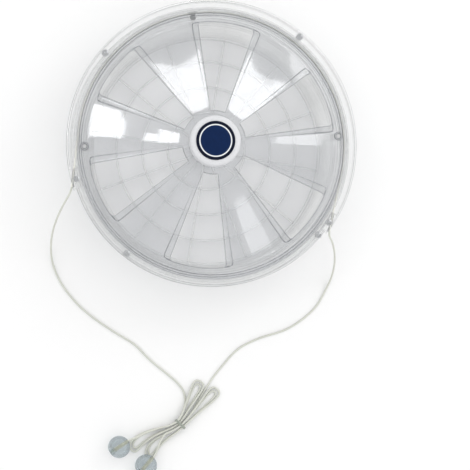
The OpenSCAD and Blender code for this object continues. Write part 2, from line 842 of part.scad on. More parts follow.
module left_lead() {
    color([0.9, 0.9, 0.84])
        tube(trimmed(left_lead_path), cord_d, 8);
}

module left_hank() {
    color([0.9, 0.9, 0.84])
        tube(trimmed(left_hank_path), cord_d, hank_sides);
}

module left_tail() {
    color([0.9, 0.9, 0.84])
        tube(trimmed(left_tail_path), cord_d, 8);
}

module right_lead() {
    color([0.9, 0.9, 0.84])
        tube(trimmed(right_lead_path), cord_d, 8);
}

module right_hank() {
    color([0.9, 0.9, 0.84])
        tube(trimmed(right_hank_path), cord_d, hank_sides);
}

module right_tail() {
    color([0.9, 0.9, 0.84])
        tube(trimmed(right_tail_path), cord_d, 8);
}

// Flat band that holds the hank at its waist
module hank_tie() {
    wide = 4 * step + 0.6;
    high = hank_turns * layer_h + cord_d + 0.65;
    way = 43.5;
    color([0.93, 0.94, 0.93])
        translate([waist[0], waist[1], 0])
            rotate([0, 0, way])
                translate([-tie_w / 2, 0, 0])
                    rotate([90, 0, 90]) {
                        linear_extrude(tie_w)
                            difference() {
                                tie_outline(wide + 2 * tie_t, high + 2 * tie_t);
                                translate([0, tie_t])
                                    tie_outline(wide, high);
                            }
                    }
}

module tie_outline(w, h) {
    r = 1.6;
    translate([-w / 2 + r, 0])
        square([w - 2 * r, h]);
    translate([-w / 2, r])
        square([w, h - 2 * r]);
    for (x = [-1, 1])
        for (y = [r, h - r])
            translate([x * (w / 2 - r), y])
                circle(r = r, $fn = 32);
}

module pull_ball(at, turn) {
    color([0.75, 0.83, 0.87, 0.5])
        translate(at)
            rotate([0, 0, turn])
                rotate([0, 90, 0])
                    rotate_extrude($fn = 64)
                        difference() {
                            circle(d = ball_d);
                            translate([-ball_d, -ball_d])
                                square([ball_d + ball_bore_d / 2, 2 * ball_d]);
                            translate([0, -ball_d])
                                square([knot_pocket_d / 2, ball_d / 2 + knot_pocket_h]);
                        }
}

module left_ball() {
    pull_ball(left_ball_at, left_ball_turn);
}

module right_ball() {
    pull_ball(right_ball_at, right_ball_turn);
}

// Knot that keeps the ball on its cord
module ball_knot(at, turn) {
    color([0.88, 0.88, 0.8])
        translate(at)
            rotate([0, 0, turn])
                translate([bore_inner - 0.4 - knot_d / 2, 0, 0])
                    sphere(d = knot_d, $fn = 48);
}

module left_knot() {
    ball_knot(left_ball_at, left_ball_turn);
}

module right_knot() {
    ball_knot(right_ball_at, right_ball_turn);
}

front_frame();
cover_ring();
cover_screws();
cord_guide(-1);  // cord_guide_left
cord_guide(1);  // cord_guide_right
guide_screws();
front_gasket();
rear_gasket();
shutter();
cord_anchor();
anchor_screw();
stop_pins();
pivot_bush();
disc_spring();
thrust_washer();
clamp_bolt();
hub_cap();
hub_badge();
rear_cowl();
rear_grille();
bolt_washer();
bolt_nut();
rim_cord();
left_lead();
left_hank();
left_tail();
right_lead();
right_hank();
right_tail();
hank_tie();
left_ball();
right_ball();
left_knot();
right_knot();
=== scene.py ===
"""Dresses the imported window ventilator: clear mouldings, hub cap, pull cords and balls."""

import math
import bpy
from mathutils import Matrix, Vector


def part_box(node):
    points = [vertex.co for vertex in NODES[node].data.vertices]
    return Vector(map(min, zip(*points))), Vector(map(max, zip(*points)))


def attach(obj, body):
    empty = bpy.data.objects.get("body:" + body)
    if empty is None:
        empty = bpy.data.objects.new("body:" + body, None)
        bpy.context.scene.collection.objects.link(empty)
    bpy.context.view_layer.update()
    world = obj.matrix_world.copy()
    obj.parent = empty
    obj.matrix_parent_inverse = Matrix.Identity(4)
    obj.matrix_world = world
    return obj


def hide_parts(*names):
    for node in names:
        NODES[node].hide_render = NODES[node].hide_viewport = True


bl_info = {
    "name": "Round window ventilator",
    "version": (1, 0, 0),
    "blender": (4, 5, 0),
    "location": "View3D > Sidebar > Ventilator",
    "description": "Clear round window ventilator with a turning shutter and pull cords",
    "category": "Object",
}

import bmesh
import bpy
import numpy as np
from bpy.props import FloatProperty, FloatVectorProperty, IntProperty, PointerProperty
from mathutils import Matrix, Vector

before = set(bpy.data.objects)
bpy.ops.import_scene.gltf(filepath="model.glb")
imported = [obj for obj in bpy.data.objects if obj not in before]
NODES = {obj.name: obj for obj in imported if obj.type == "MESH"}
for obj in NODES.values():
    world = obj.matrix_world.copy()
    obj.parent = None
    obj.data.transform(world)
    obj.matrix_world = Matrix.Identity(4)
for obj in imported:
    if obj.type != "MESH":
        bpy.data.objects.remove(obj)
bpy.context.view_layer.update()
MM = 0.001
FIXED = "frame"
TURNING = "shutter"


def length(name, description, mm):
    """A length property whose default is given in millimetres."""
    return FloatProperty(
        name=name, description=description, default=mm * MM, unit="LENGTH", subtype="DISTANCE"
    )


def tint(name, description, red, green, blue):
    """A colour property."""
    return FloatVectorProperty(
        name=name, description=description, default=(red, green, blue), subtype="COLOR",
        size=3, min=0.0, max=1.0,
    )


class VentilatorFinish(bpy.types.PropertyGroup):
    """Colours of the clear mouldings and of the hub."""

    clear: tint("Clear plastic", "What shows through a clear wall", 0.988, 0.989, 0.989)
    # Darker than clear: it greys the shutter's sectors and the floor seen under them
    shutter_tint: tint("Shutter", "What shows through the shutter", 0.92, 0.923, 0.93)
    milk: tint("Upright wall", "Clear plastic where a wall stands upright", 0.9, 0.9, 0.89)
    milk_low: tint("Cloud", "Darker clouds in upright walls", 0.56, 0.57, 0.56)
    # Painted shade: the dark colour put on rounded edges, for the light they bend aside
    edge: tint("Rounded edge", "Clear plastic where an edge bends the light", 0.14, 0.15, 0.17)
    cap: tint("Hub cap", "White of the hub cap", 0.75, 0.755, 0.775)
    plate: tint("Hub plate", "Dark blue of the hub plate", 0.001, 0.012, 0.055)
    plate_rim: tint("Hub plate rim", "Darker rim of the hub plate", 0.001, 0.004, 0.018)
    plate_ring: tint("Hub plate ring", "Ring printed on the hub plate", 0.85, 0.87, 0.88)
    steel: tint("Steel", "Plated steel of the bolt and the screws", 0.5, 0.51, 0.52)
    bearing: tint("Bearing", "Natural white bearing plastic", 0.86, 0.86, 0.82)


class CordFinish(bpy.types.PropertyGroup):
    """Sizes and colours of the pull cords."""

    diameter: length("Cord diameter", "Diameter of the pull cords", 1.5)
    colour: tint("Cord", "Off-white of the cord", 0.74, 0.755, 0.68)
    # Painted shade: the colour put in the grooves between the cord's strands
    shade: tint("Cord groove shade", "Colour between the cord's strands", 0.44, 0.445, 0.4)
    tie: tint("Tie", "Grey green of the tie round the hanks", 0.38, 0.41, 0.36)
    ball: length("Ball diameter", "Diameter of the pull balls", 17)
    ball_bore: length("Ball bore", "Diameter of the bore in a ball", 2.3)
    ball_tint: tint("Ball", "Blue grey tinge of the balls", 0.83, 0.87, 0.885)
    bore: tint("Ball bore", "Pale wall of a ball's bore", 0.84, 0.82, 0.7)
    # Painted shade: the dark grey put on towards a ball's outline
    ball_outline_shade: tint("Ball outline", "Darker grey of a ball's outline", 0.2, 0.23, 0.27)
    sides: IntProperty(
        name="Sides", description="Sides of the cord's mesh", default=14, min=6, max=32
    )


class StudioSettings(bpy.types.PropertyGroup):
    """Camera and lights."""

    eye: FloatVectorProperty(
        name="Camera place", description="Where the camera stands",
        default=(-0.1426, -0.1561, 1.5219), size=3, unit="LENGTH", subtype="XYZ",
    )
    aim: FloatVectorProperty(
        name="Camera aim", description="Point on the floor in the middle of the picture",
        default=(0.0223, -0.0655, 0.0), size=3, unit="LENGTH", subtype="XYZ",
    )
    roll: FloatProperty(
        name="Camera roll", description="Turn of the camera about its axis",
        default=math.radians(-0.69), subtype="ANGLE", unit="ROTATION",
    )
    lens: FloatProperty(
        name="Focal length", description="Focal length on a 36 mm frame", default=150.2,
        subtype="DISTANCE_CAMERA",
    )
    ambient: FloatProperty(
        name="Ambient", description="Strength of the even light round the part", default=0.98,
        min=0.0,
    )


class Wire:
    """A shader value that arithmetic can be done with."""

    def __init__(self, tree, socket):
        self.tree = tree
        self.socket = socket

    def node(self, kind, settings=None, **inputs):
        """Adds one node: its settings first, then its sockets by name or number."""
        made = self.tree.nodes.new(kind)
        for key, value in (settings or {}).items():
            setattr(made, key, value)
        for key, value in inputs.items():
            target = made.inputs[int(key[1:])] if key[0] == "i" and key[1:].isdigit() else (
                made.inputs[key.replace("_", " ")]
            )
            if isinstance(value, Wire):
                self.tree.links.new(value.socket, target)
            elif isinstance(value, bpy.types.NodeSocket):
                self.tree.links.new(value, target)
            else:
                target.default_value = value
        return made

    def out(self, kind, settings=None, output=0, **inputs):
        """The output of a new node as a value."""
        return Wire(self.tree, self.node(kind, settings, **inputs).outputs[output])

    def maths(self, operation, *values, clamp=False):
        """One Math node on values or numbers."""
        inputs = {"i%d" % n: v for n, v in enumerate(values)}
        return self.out("ShaderNodeMath", {"operation": operation, "use_clamp": clamp}, **inputs)

    def __add__(self, other):
        return self.maths("ADD", self, other)

    __radd__ = __add__

    def __sub__(self, other):
        return self.maths("SUBTRACT", self, other)

    def __rsub__(self, other):
        return self.maths("SUBTRACT", other, self)

    def __mul__(self, other):
        return self.maths("MULTIPLY", self, other)

    __rmul__ = __mul__

    def __pow__(self, other):
        return self.maths("POWER", self, other)

    def clamped(self):
        """The value, held between 0 and 1."""
        return self.maths("ADD", self, 0.0, clamp=True)

    def step(self, low, high):
        """0 below low, 1 above high and smooth between them."""
        return self.out(
            "ShaderNodeMapRange", {"interpolation_type": "SMOOTHSTEP"},
            Value=self, From_Min=low, From_Max=high,
        )


def shader(name):
    """An empty node material with its output, as a Wire to build from."""
    material = bpy.data.materials.new(name)
    material.use_nodes = True
    tree = material.node_tree
    tree.nodes.clear()
    tree.nodes.new("ShaderNodeOutputMaterial")
    return material, Wire(tree, None)


def surface(start, made):
    """Joins a shader to the material's output."""
    output = next(n for n in start.tree.nodes if n.type == "OUTPUT_MATERIAL")
    start.tree.links.new(made.socket, output.inputs[0])


def rgba(colour):
    """A colour with full alpha."""
    return (colour[0], colour[1], colour[2], 1.0)


def place(start):
    """Object coordinates in metres."""
    return start.out("ShaderNodeTexCoord", output=3)


def noise(start, scale, detail=2.0, rough=0.5):
    """Noise over the object, from 0 to 1."""
    return start.out(
        "ShaderNodeTexNoise", Vector=place(start), Scale=scale, Detail=detail, Roughness=rough
    )


def bump(start, height, distance, strength):
    """A normal tilted by a height that varies over the surface."""
    return start.out("ShaderNodeBump", Height=height, Distance=distance, Strength=strength)


def blend_colours(start, factor, low, high):
    """Goes from one colour to another as factor goes from 0 to 1."""
    return start.out(
        "ShaderNodeMix", {"data_type": "RGBA"}, output=2, i0=factor,
        i6=low if isinstance(low, Wire) else rgba(low),
        i7=high if isinstance(high, Wire) else rgba(high),
    )


def clear_plastic(name, finish, clear, *, haze, gloss, flow, line, wall, milk=None, most=0.12):
    """Thin clear plastic. It lets what is behind it through with the tint of clear, mirrors more
    at a glancing angle, up to most, and is milky by the share wall where it stands upright, and
    painted dark by the share line on a rounded edge, a painted shade for the light that the edge
    bends aside. Haze is the milky share everywhere, gloss the roughness and flow the scale of the
    moulding's waves."""
    material, start = shader(name)
    level = start.maths("ABSOLUTE", start.out(
        "ShaderNodeSeparateXYZ", output=2, i0=start.out("ShaderNodeTexCoord", output=1)
    ))
    tilt = 1.0 - level
    walls = tilt.step(0.4, 0.65)
    # Painted shade: where a rounded edge bends, it is coloured dark for the light it bends aside
    bend = tilt.step(0.06, 0.2) * (1.0 - tilt.step(0.4, 0.6))
    waves = noise(start, flow, 1.5)
    clouds = noise(start, 34.0, 2.5, 0.6)
    see = start.out("ShaderNodeBsdfTransparent", Color=rgba(clear))
    cloudy = blend_colours(
        start, clouds.step(0.3, 0.7), milk or tuple(finish.milk_low), milk or tuple(finish.milk)
    )
    body = start.out(
        "ShaderNodeBsdfPrincipled", Base_Color=blend_colours(start, bend, cloudy, finish.edge),
        Roughness=gloss + waves * 0.05, IOR=1.5, Normal=bump(start, waves, 0.0002, 0.25),
    )
    mirror = start.out(
        "ShaderNodeBsdfGlossy", Roughness=gloss, Color=(1, 1, 1, 1),
        Normal=bump(start, waves, 0.0002, 0.25),
    )
    cover = (bend * line + walls * wall + haze + (clouds - 0.5) * 0.06).clamped()
    wall_mix = start.out("ShaderNodeMixShader", i0=cover, i1=see, i2=body)
    facing = start.maths("MINIMUM", start.out("ShaderNodeFresnel", IOR=1.5), most)
    surface(start, start.out("ShaderNodeMixShader", i0=facing, i1=wall_mix, i2=mirror))
    return material


def plain_gloss(name, colour, rough, grain, metallic=0.0):
    """Opaque plastic or metal with a faint grain in its colour, roughness and surface."""
    material, start = shader(name)
    spots = noise(start, 900.0, 3.0)
    shade = tuple(0.88 * c for c in colour)
    surface(start, start.out(
        "ShaderNodeBsdfPrincipled",
        Base_Color=blend_colours(start, spots.step(0.3, 0.8), colour, shade),
        Roughness=spots * 0.12 + rough, Metallic=metallic,
        Normal=bump(start, spots, 0.00005, grain),
    ))
    return material


def hub_plate_material(finish, ring):
    """Dark blue plate with a darker rim and one thin printed ring, whose radius is ring."""
    material, start = shader("hub_plate")
    flat = start.node("ShaderNodeSeparateXYZ", i0=place(start))
    x, y = Wire(start.tree, flat.outputs[0]), Wire(start.tree, flat.outputs[1])
    r = start.maths("SQRT", x * x + y * y)
    spots = noise(start, 400.0, 3.0)
    field = blend_colours(start, spots, finish.plate, tuple(1.5 * c for c in finish.plate))
    inside = blend_colours(start, r.step(ring - 0.0003, ring + 0.0003), field, finish.plate_rim)
    line = r.step(ring - 0.0006, ring - 0.0003) * (1.0 - r.step(ring + 0.0003, ring + 0.0006))
    surface(start, start.out(
        "ShaderNodeBsdfPrincipled",
        Base_Color=blend_colours(start, line, inside, finish.plate_ring),
        Roughness=spots * 0.1 + 0.3, Specular_IOR_Level=0.12,
    ))
    return material


def cord_material(look):
    """Thin smooth braid: slanting strands along the cord's own length and girth, with a painted
    shade in the grooves between them and random patches.
    """
    material, start = shader("cord")
    uv = start.node("ShaderNodeSeparateXYZ", i0=start.out("ShaderNodeTexCoord", output=2))
    along, around = Wire(start.tree, uv.outputs[0]), Wire(start.tree, uv.outputs[1])
    one = start.maths("SINE", (along * 5.2 + around * 4.0) * 6.2832)
    two = start.maths("SINE", (along * 5.2 - around * 4.0) * 6.2832)
    weave = start.maths("MAXIMUM", one, two) * 0.5 + 0.5
    patches = noise(start, 120.0, 2.0)
    # Painted shade: darker between the strands, mixed with random patches
    strand = blend_colours(start, (weave + patches * 0.4 - 0.2).clamped(), look.shade, look.colour)
    surface(start, start.out(
        "ShaderNodeBsdfPrincipled", Base_Color=strand, Roughness=0.55 - weave * 0.15,
        Normal=bump(start, weave, 0.00008, 0.6), Sheen_Weight=0.15,
    ))
    return material


def ball_material(look):
    """Clear plastic ball with a blue grey tinge: it bends what is seen through it, and a painted
    shade makes it darker towards its outline, where the light passes sideways."""
    material, start = shader("pull_ball")
    swirls = noise(start, 160.0, 2.0)
    ripples = bump(start, swirls, 0.0004, 0.3)
    clear = start.out(
        "ShaderNodeBsdfPrincipled", Base_Color=rgba(look.ball_tint),
        Roughness=swirls * 0.06 + 0.02, IOR=1.45, Transmission_Weight=1.0, Normal=ripples,
    )
    # Painted shade: a dark grey mixed in towards the outline, where the surface turns away
    dark = start.out(
        "ShaderNodeBsdfPrincipled", Base_Color=rgba(look.ball_outline_shade), Roughness=0.1, IOR=1.45,
    )
    outline = start.out("ShaderNodeLayerWeight", output=1, Blend=0.5) ** 2.5
    outside = 1.0 - start.out("ShaderNodeNewGeometry", output=6)
    rim = ((outline * 0.8 + (swirls - 0.5) * 0.2) * outside).clamped()
    see = start.out("ShaderNodeBsdfTransparent", Color=rgba(look.ball_tint))
    inner = start.out("ShaderNodeMixShader", i0=0.45, i1=clear, i2=see)
    surface(start, start.out("ShaderNodeMixShader", i0=rim, i1=inner, i2=dark))
    return material


def bore_material(look):
    """Frosted pale wall of a drilled bore, with turned marks."""
    material, start = shader("ball_bore")
    marks = noise(start, 900.0, 2.0)
    see = start.out("ShaderNodeBsdfTransparent", Color=rgba(look.bore))
    wall = start.out(
        "ShaderNodeBsdfPrincipled", Base_Color=rgba(look.bore), Roughness=marks * 0.2 + 0.4,
        Normal=bump(start, marks, 0.0001, 0.3),
    )
    surface(start, start.out("ShaderNodeMixShader", i0=marks * 0.3 + 0.35, i1=see, i2=wall))
    return material


def new_piece(name, points, faces, body, material, replaced=(), uv=None, sharp=35.0):
    """Makes a mesh from points in millimetres and rows of corner numbers and puts it on a body,
    in place of the replaced nodes. Without a map of its own, its poles are closed and its faces
    turned outwards."""
    mesh = bpy.data.meshes.new(name)
    mesh.from_pydata((np.asarray(points) * MM).tolist(), [], [list(map(int, f)) for f in faces])
    if uv is not None:
        layer = mesh.uv_layers.new(name="along")
        corners = np.zeros(len(mesh.loops), np.int64)
        mesh.loops.foreach_get("vertex_index", corners)
        layer.data.foreach_set("uv", np.asarray(uv, float)[corners].ravel())
    else:
        shell = bmesh.new()
        shell.from_mesh(mesh)
        bmesh.ops.remove_doubles(shell, verts=shell.verts, dist=1e-6)
        loose = [v for v in shell.verts if not v.link_faces]
        bmesh.ops.delete(shell, geom=loose, context="VERTS")
        bmesh.ops.recalc_face_normals(shell, faces=shell.faces)
        shell.to_mesh(mesh)
        shell.free()
    mesh.shade_smooth()
    mesh.set_sharp_from_angle(angle=math.radians(sharp))
    mesh.materials.append(material)
    piece = bpy.data.objects.new(name, mesh)
    bpy.context.scene.collection.objects.link(piece)
    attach(piece, body)
    if replaced:
        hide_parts(*replaced)
    return piece


def smooth_path(points, steps):
    """A curve through the points: on each stretch a cubic whose slopes at both ends are half the
    difference of the neighbours."""
    p = np.asarray(points, float)
    a = np.vstack([p[:1], p[:-1]])[:-1]
    b, c = p[:-1], p[1:]
    d = np.vstack([p[1:], p[-1:]])[1:]
    t = (np.arange(steps) / steps)[None, :, None]
    a, b, c, d = (q[:, None] for q in (a, b, c, d))
    rows = 0.5 * (
        2 * b + (c - a) * t + (2 * a - 5 * b + 4 * c - d) * t**2 + (3 * b - a - 3 * c + d) * t**3
    )
    return np.vstack([rows.reshape(-1, 3), p[-1:]])


def eased(path, spread=1.3, step=0.6):
    """An evenly spaced copy of a path whose points are means of the points near them, weighted
    by a bell curve of the length between. Both ends stay where they are."""
    run = np.concatenate([[0], np.cumsum(np.linalg.norm(np.diff(path, axis=0), axis=1))])
    places = np.linspace(0, run[-1], int(run[-1] / step) + 2)
    even = np.stack([np.interp(places, run, path[:, k]) for k in range(3)], -1)
    n = int(3 * spread / step)
    weights = np.exp(-0.5 * (np.arange(-n, n + 1) * step / spread) ** 2)
    weights /= weights.sum()
    wide = np.vstack([2 * even[0] - even[n:0:-1], even, 2 * even[-1] - even[-2 : -n - 2 : -1]])
    return np.stack([np.convolve(wide[:, k], weights, "valid") for k in range(3)], -1)


def cord_tube(path, diameter, sides):
    """A tube round a path: each ring is a circle square to the path that starts on its level
    side, so the tube doesn't twist. Returns points, faces and a map of length along it and of
    turn round it."""
    ahead = np.gradient(path, axis=0)
    ahead /= np.linalg.norm(ahead, axis=1)[:, None]
    across = np.cross(ahead, [0, 0, 1.0])
    across /= np.linalg.norm(across, axis=1)[:, None]
    above = np.cross(across, ahead)
    turn = 2 * np.pi * (np.arange(sides + 1) / sides)
    c, s = np.cos(turn)[None, :, None], np.sin(turn)[None, :, None]
    ring = c * across[:, None] + s * above[:, None]
    points = (path[:, None] + ring * diameter / 2).reshape(-1, 3)
    i, k = np.meshgrid(np.arange(len(path) - 1), np.arange(sides), indexing="ij")
    low = i * (sides + 1) + k
    walls = np.stack([low, low + 1, low + sides + 2, low + sides + 1], -1).reshape(-1, 4)
    run = np.concatenate([[0], np.cumsum(np.linalg.norm(np.diff(path, axis=0), axis=1))])
    uv = np.stack(
        [np.repeat(run / diameter / 3, sides + 1), np.tile(turn / (2 * np.pi), len(path))], -1
    )
    last = (len(path) - 1) * (sides + 1)
    ends = [list(range(sides - 1, -1, -1)), list(range(last, last + sides))]
    return points, walls.tolist() + ends, uv


# Cord routes from the exits to the hank, in millimetres: the same points as the model's own
# cords have
LEFT_ROUTE = [
    (-110, -41, 49), (-115, -50, 40), (-119, -60, 26), (-121, -70, 12), (-121, -80, 4),
    (-119, -90, 1.5), (-113, -103, 0.8), (-104, -115, 0.75), (-94, -125, 0.75),
    (-82, -134, 0.75), (-70, -142, 0.75),
]
RIGHT_ROUTE = [
    (91.5, -73, 46), (95, -80, 35), (97.5, -88, 21), (98, -95, 9), (96.5, -102, 3.5),
    (93, -109, 1.4), (87, -120, 0.8), (77, -130, 0.75), (61, -140, 0.75), (41, -146, 0.75),
]
# Place of the tie on the floor, and height of a cord's middle where it lies there
WAIST = (-22.5, -212)
REST = 0.75
# Seen from the waist, across the floor
LEFT_NEAR = [(-34.5, 62), (-25, 52), (-16.5, 44.5), (-6, 36)]
RIGHT_NEAR = [(48, 59), (40.5, 52.5), (33.5, 44.5)]
# Along the hank, across it and up
LEFT_JOIN = [(25, 11.8, 0.75), (20, 6.8, 0.75), (15.5, 4.2, 0.85)]
RIGHT_JOIN = [
    (45, 7, 0.75), (38, 5.6, 0.75), (31, 4.3, 0.75), (24, 2.8, 0.75), (19, 1.2, 0.75),
    (15.7, 0.2, 0.85),
]
LEFT_TAIL = [(-19, 4, 5.7), (-26, 4.6, 6.8), (-34, 5.5, 7.8)]
RIGHT_TAIL = [(-16.5, -0.9, 5.7), (-22, -3.2, 7)]
LEFT_BALL = (-70, -228.5, 8.5)
LEFT_BALL_TURN = 32
RIGHT_BALL = (-49.5, -243, 8.5)
RIGHT_BALL_TURN = 48
# Running angle at which the loops start and end, in degrees
HANK_FIRST = 75
HANK_LAST = 825
# Distance across between the two columns of a hank, and height that one turn gains
HANK_STEP = 2
LAYER = 2.2
# Half width of the innermost loops, and how much wider and longer each next one is
UPPER_HALF, UPPER_WIDER = 2.4, 2.5
LOWER_HALF, LOWER_WIDER = 2.9, 2.0
LONGER = 2.5
# Roundness of the loops' ends, and how softly and how late the loops open from the waist
BLUNT, DRAW_IN, PINCH = 0.43, 0.15, 1.2
# Height gained under the tie, sideways bow of the lower half and reach of the turn at the waist
TIE_RISE = 1.1
BOW = 3
WAIST_TURN = 9
# Depth of the knot's pocket in a ball, and the strand that the knot is wound of
KNOT_POCKET = 4.5
KNOT_STRAND = 1.15
# Half width of the tie, its strand, the direction across which it lies and how square it is
TIE_HALF, TIE_STRAND, TIE_TURN, TIE_SQUARE = 4.7, 1.0, 43.5, 0.55
# Middle and half of the arc between the two cord exits, in degrees
ARC_MIDDLE = 80
EXIT_HALF = 116
# Radius of the rim along that arc, radius and height of the cord in it, and how far a cord
# stands out of the rim before it bends
RIM_RADIUS = 110
CORD_RUN = 101
CORD_HEIGHT = 52.75
EXIT_STUB = 1.4
TANGENT_HALF = EXIT_HALF - math.degrees(math.acos(CORD_RUN / RIM_RADIUS))
# Column at the waist, length of the upper and of the lower loops and their two directions
LEFT_LAY = (2, 34, 40, 61, 28)
RIGHT_LAY = (-2, 37, 33, 45, 40.5)


def on_hank(lay, u, side, z):
    """A place on a hank: u along it from the waist, side across it. The hank's direction turns
    from the lower to the upper one at the waist, and the lower half bows sideways."""
    lean = u / np.sqrt(u * u + WAIST_TURN**2)
    way = np.radians((lay[3] + lay[4]) / 2 + (lay[3] - lay[4]) / 2 * lean)
    t = np.clip(-u / lay[2], 0, 1)
    out = side + BOW * 6.75 * t * t * (1 - t)
    return np.stack([
        WAIST[0] + u * np.cos(way) - out * np.sin(way),
        WAIST[1] + u * np.sin(way) + out * np.cos(way), z + 0 * u,
    ], -1)


def hank_path(lay, per_turn=48):
    """Long nested loops drawn in at the waist. The running angle's cosine gives the place along
    the hank, blunted at the ends, and its sine times the loop's width gives the place across.
    Each turn lies on the last one near the waist, and comes down to the floor at the ends."""
    count = round((HANK_LAST - HANK_FIRST) / 360 * per_turn) + 1
    degrees = np.linspace(HANK_FIRST, HANK_LAST, count)
    a = np.radians(degrees)
    c = np.cos(a)
    turn = np.floor((degrees + 90) / 360)
    nest = np.where(c > 0, np.abs(turn - 1), turn)
    reach = np.where(c > 0, lay[1], lay[2]) + LONGER * nest
    half = np.where(c > 0, UPPER_HALF + UPPER_WIDER * nest, LOWER_HALF + LOWER_WIDER * nest)
    u = reach * ((1 + BLUNT) * c - BLUNT * c**3)
    opened = (np.sqrt(c * c + DRAW_IN**2) - DRAW_IN) ** PINCH
    v = np.sin(a) * (HANK_STEP / 2 + 2 * half * opened)
    fall = np.exp(-((u / (0.8 * reach)) ** 4))
    z = REST + LAYER * (degrees - HANK_FIRST) / 360 * fall + TIE_RISE * np.exp(-u * u / 120)
    return on_hank(lay, u, lay[0] + v, z)


def exit_point(side, further=0.0):
    """Where a cord leaves its guide, on the tangent of the cord's circle."""
    a = math.radians(ARC_MIDDLE - side * TANGENT_HALF)
    run = math.sqrt(RIM_RADIUS**2 - CORD_RUN**2) + EXIT_STUB + further
    return (
        CORD_RUN * math.cos(a) + side * run * math.sin(a),
        CORD_RUN * math.sin(a) - side * run * math.cos(a), CORD_HEIGHT,
    )


def on_ball(centre, turn, reach):
    """A place on the line of a ball's bore, at a distance from its centre."""
    a = math.radians(turn)
    return (centre[0] + reach * math.cos(a), centre[1] + reach * math.sin(a), centre[2])


def whole_cord(look, side, route, near, join, lay, tail, ball, turn):
    """Lead, hank and tail of one cord as one path."""
    hank = hank_path(lay)
    places = [np.array(exit_point(side, run)) for run in (0, 1.5, 3.5)]
    places += [np.array(p, float) for p in route]
    places += [np.array([WAIST[0] + x, WAIST[1] + y, REST]) for x, y in near]
    places += [on_hank(lay, np.float64(u), v, z) for u, v, z in join]
    lead = smooth_path(places + [hank[0]], 6)
    radius = look.ball / MM / 2
    ends = [on_ball(ball, turn, radius + 1.5), on_ball(ball, turn, KNOT_POCKET - radius + 0.4)]
    run_out = [on_hank(lay, np.float64(u), v, z) for u, v, z in tail]
    end = smooth_path([hank[-1], *run_out, *ends], 6)
    return eased(np.vstack([eased(lead, 3.0)[:-1], hank, end[1:]]))


def grid_faces(rows, columns, whole_rows=False, whole_columns=False):
    """Four-cornered faces of a grid of points, closed on itself along its rows or columns."""
    i, j = np.meshgrid(
        np.arange(rows if whole_rows else rows - 1),
        np.arange(columns if whole_columns else columns - 1), indexing="ij",
    )
    n, m = (i + 1) % rows * columns, (j + 1) % columns
    i = i * columns
    return np.stack([i + j, n + j, n + m, i + m], -1).reshape(-1, 4).tolist()


def turned(section, angles, whole=True, closed=True):
    """Carries a section of radius and height round the axis, one column to each angle in degrees.
    Every column may have a section of its own. A closed section on a part turn gets flat ends."""
    s = np.asarray(section, float)
    a = np.radians(np.asarray(angles, float))[:, None]
    s = np.broadcast_to(s, (len(a), *s.shape[-2:]))
    points = np.stack([np.cos(a) * s[..., 0], np.sin(a) * s[..., 0], s[..., 1]], -1)
    n = s.shape[1]
    faces = grid_faces(len(a), n, whole, closed)
    if closed and not whole:
        faces += [list(range(n)), list(range(len(a) * n - 1, len(a) * n - n - 1, -1))]
    return points.reshape(-1, 3), faces


def lathe(profile, segments=160):
    """Turns a closed profile of radius and height once round the axis."""
    return turned(profile, 360 * np.arange(segments) / segments)


def joined(*parts):
    """Several meshes as one list of points and one of faces."""
    faces, count = [], 0
    for points, part_faces in parts:
        faces += [[k + count for k in face] for face in part_faces]
        count += len(points)
    return np.vstack([points for points, _ in parts]), faces


def set_at(part, angle, radius, height=0.0, turn=0.0):
    """A mesh turned about its own upright and stood at an angle and a radius."""
    points, faces = part
    c, s = math.cos(math.radians(angle + turn)), math.sin(math.radians(angle + turn))
    points = np.asarray(points) @ np.array([[c, s, 0], [-s, c, 0], [0, 0, 1]])
    a = math.radians(angle)
    return points + [radius * math.cos(a), radius * math.sin(a), height], faces


def rounded(corners, radii, steps=5):
    """A closed profile whose corners are replaced by arcs that touch both sides."""
    p = np.asarray(corners, float)
    out = []
    for k in range(len(p)):
        before, here, after = p[k - 1], p[k], p[(k + 1) % len(p)]
        u, v = before - here, after - here
        lu, lv = np.linalg.norm(u), np.linalg.norm(v)
        u, v = u / lu, v / lv
        half = math.acos(float(np.clip(u @ v, -1, 1))) / 2
        r = radii[k] if np.ndim(radii) else radii
        if r <= 0 or half > 1.54:
            out.append(here)
            continue
        cut = min(r / math.tan(half), 0.45 * lu, 0.45 * lv)
        r = cut * math.tan(half)
        centre = here + (u + v) / np.linalg.norm(u + v) * (r / math.sin(half))
        s, e = here + u * cut - centre, here + v * cut - centre
        spread = math.acos(float(np.clip(s @ e / (r * r), -1, 1)))
        for t in np.linspace(0, 1, steps):
            if spread < 1e-6:
                out.append(centre + s)
                continue
            out.append(centre + (math.sin((1 - t) * spread) * s + math.sin(t * spread) * e)
                       / math.sin(spread))
    return np.array(out)


def corners_of(node):
    """Lowest and highest corner of a CAD node's box, in millimetres."""
    low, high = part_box(node)
    return np.array(low) / MM, np.array(high) / MM


def give(node, material):
    """Puts a material on every slot of a CAD node."""
    mesh = NODES[node].data
    mesh.materials.clear()
    mesh.materials.append(material)


# Heights of the room side from the outdoor face, in millimetres: the flange's underside, the
# floor of the cord channel, the top of its walls and the cover ring's face
FLANGE_LOW = 47
RIM_FLOOR = 50
WALL_TOP = 55.5
COVER_TOP = 57.3
# Radii: the rim below the cord exits, the channel's inner wall, and the sleeve
LOW_RIM_RADIUS = 107.6
WALL_IN, WALL_OUT = 102.8, 104
WALL = 1.4
SLEEVE_IN, SLEEVE_OUT = 94.5, 96.5
SLEEVE_END = 28
# Where the cord guides begin and end, in degrees from the arc's middle
GUIDE_FROM, GUIDE_TO = 109.5, 118.25
# The shutter's grooved edge
EDGE_IN, EDGE_OUT, GROOVE = 98.6, 102, 100
EDGE_LOW, EDGE_TOP = 50.6, 54.9
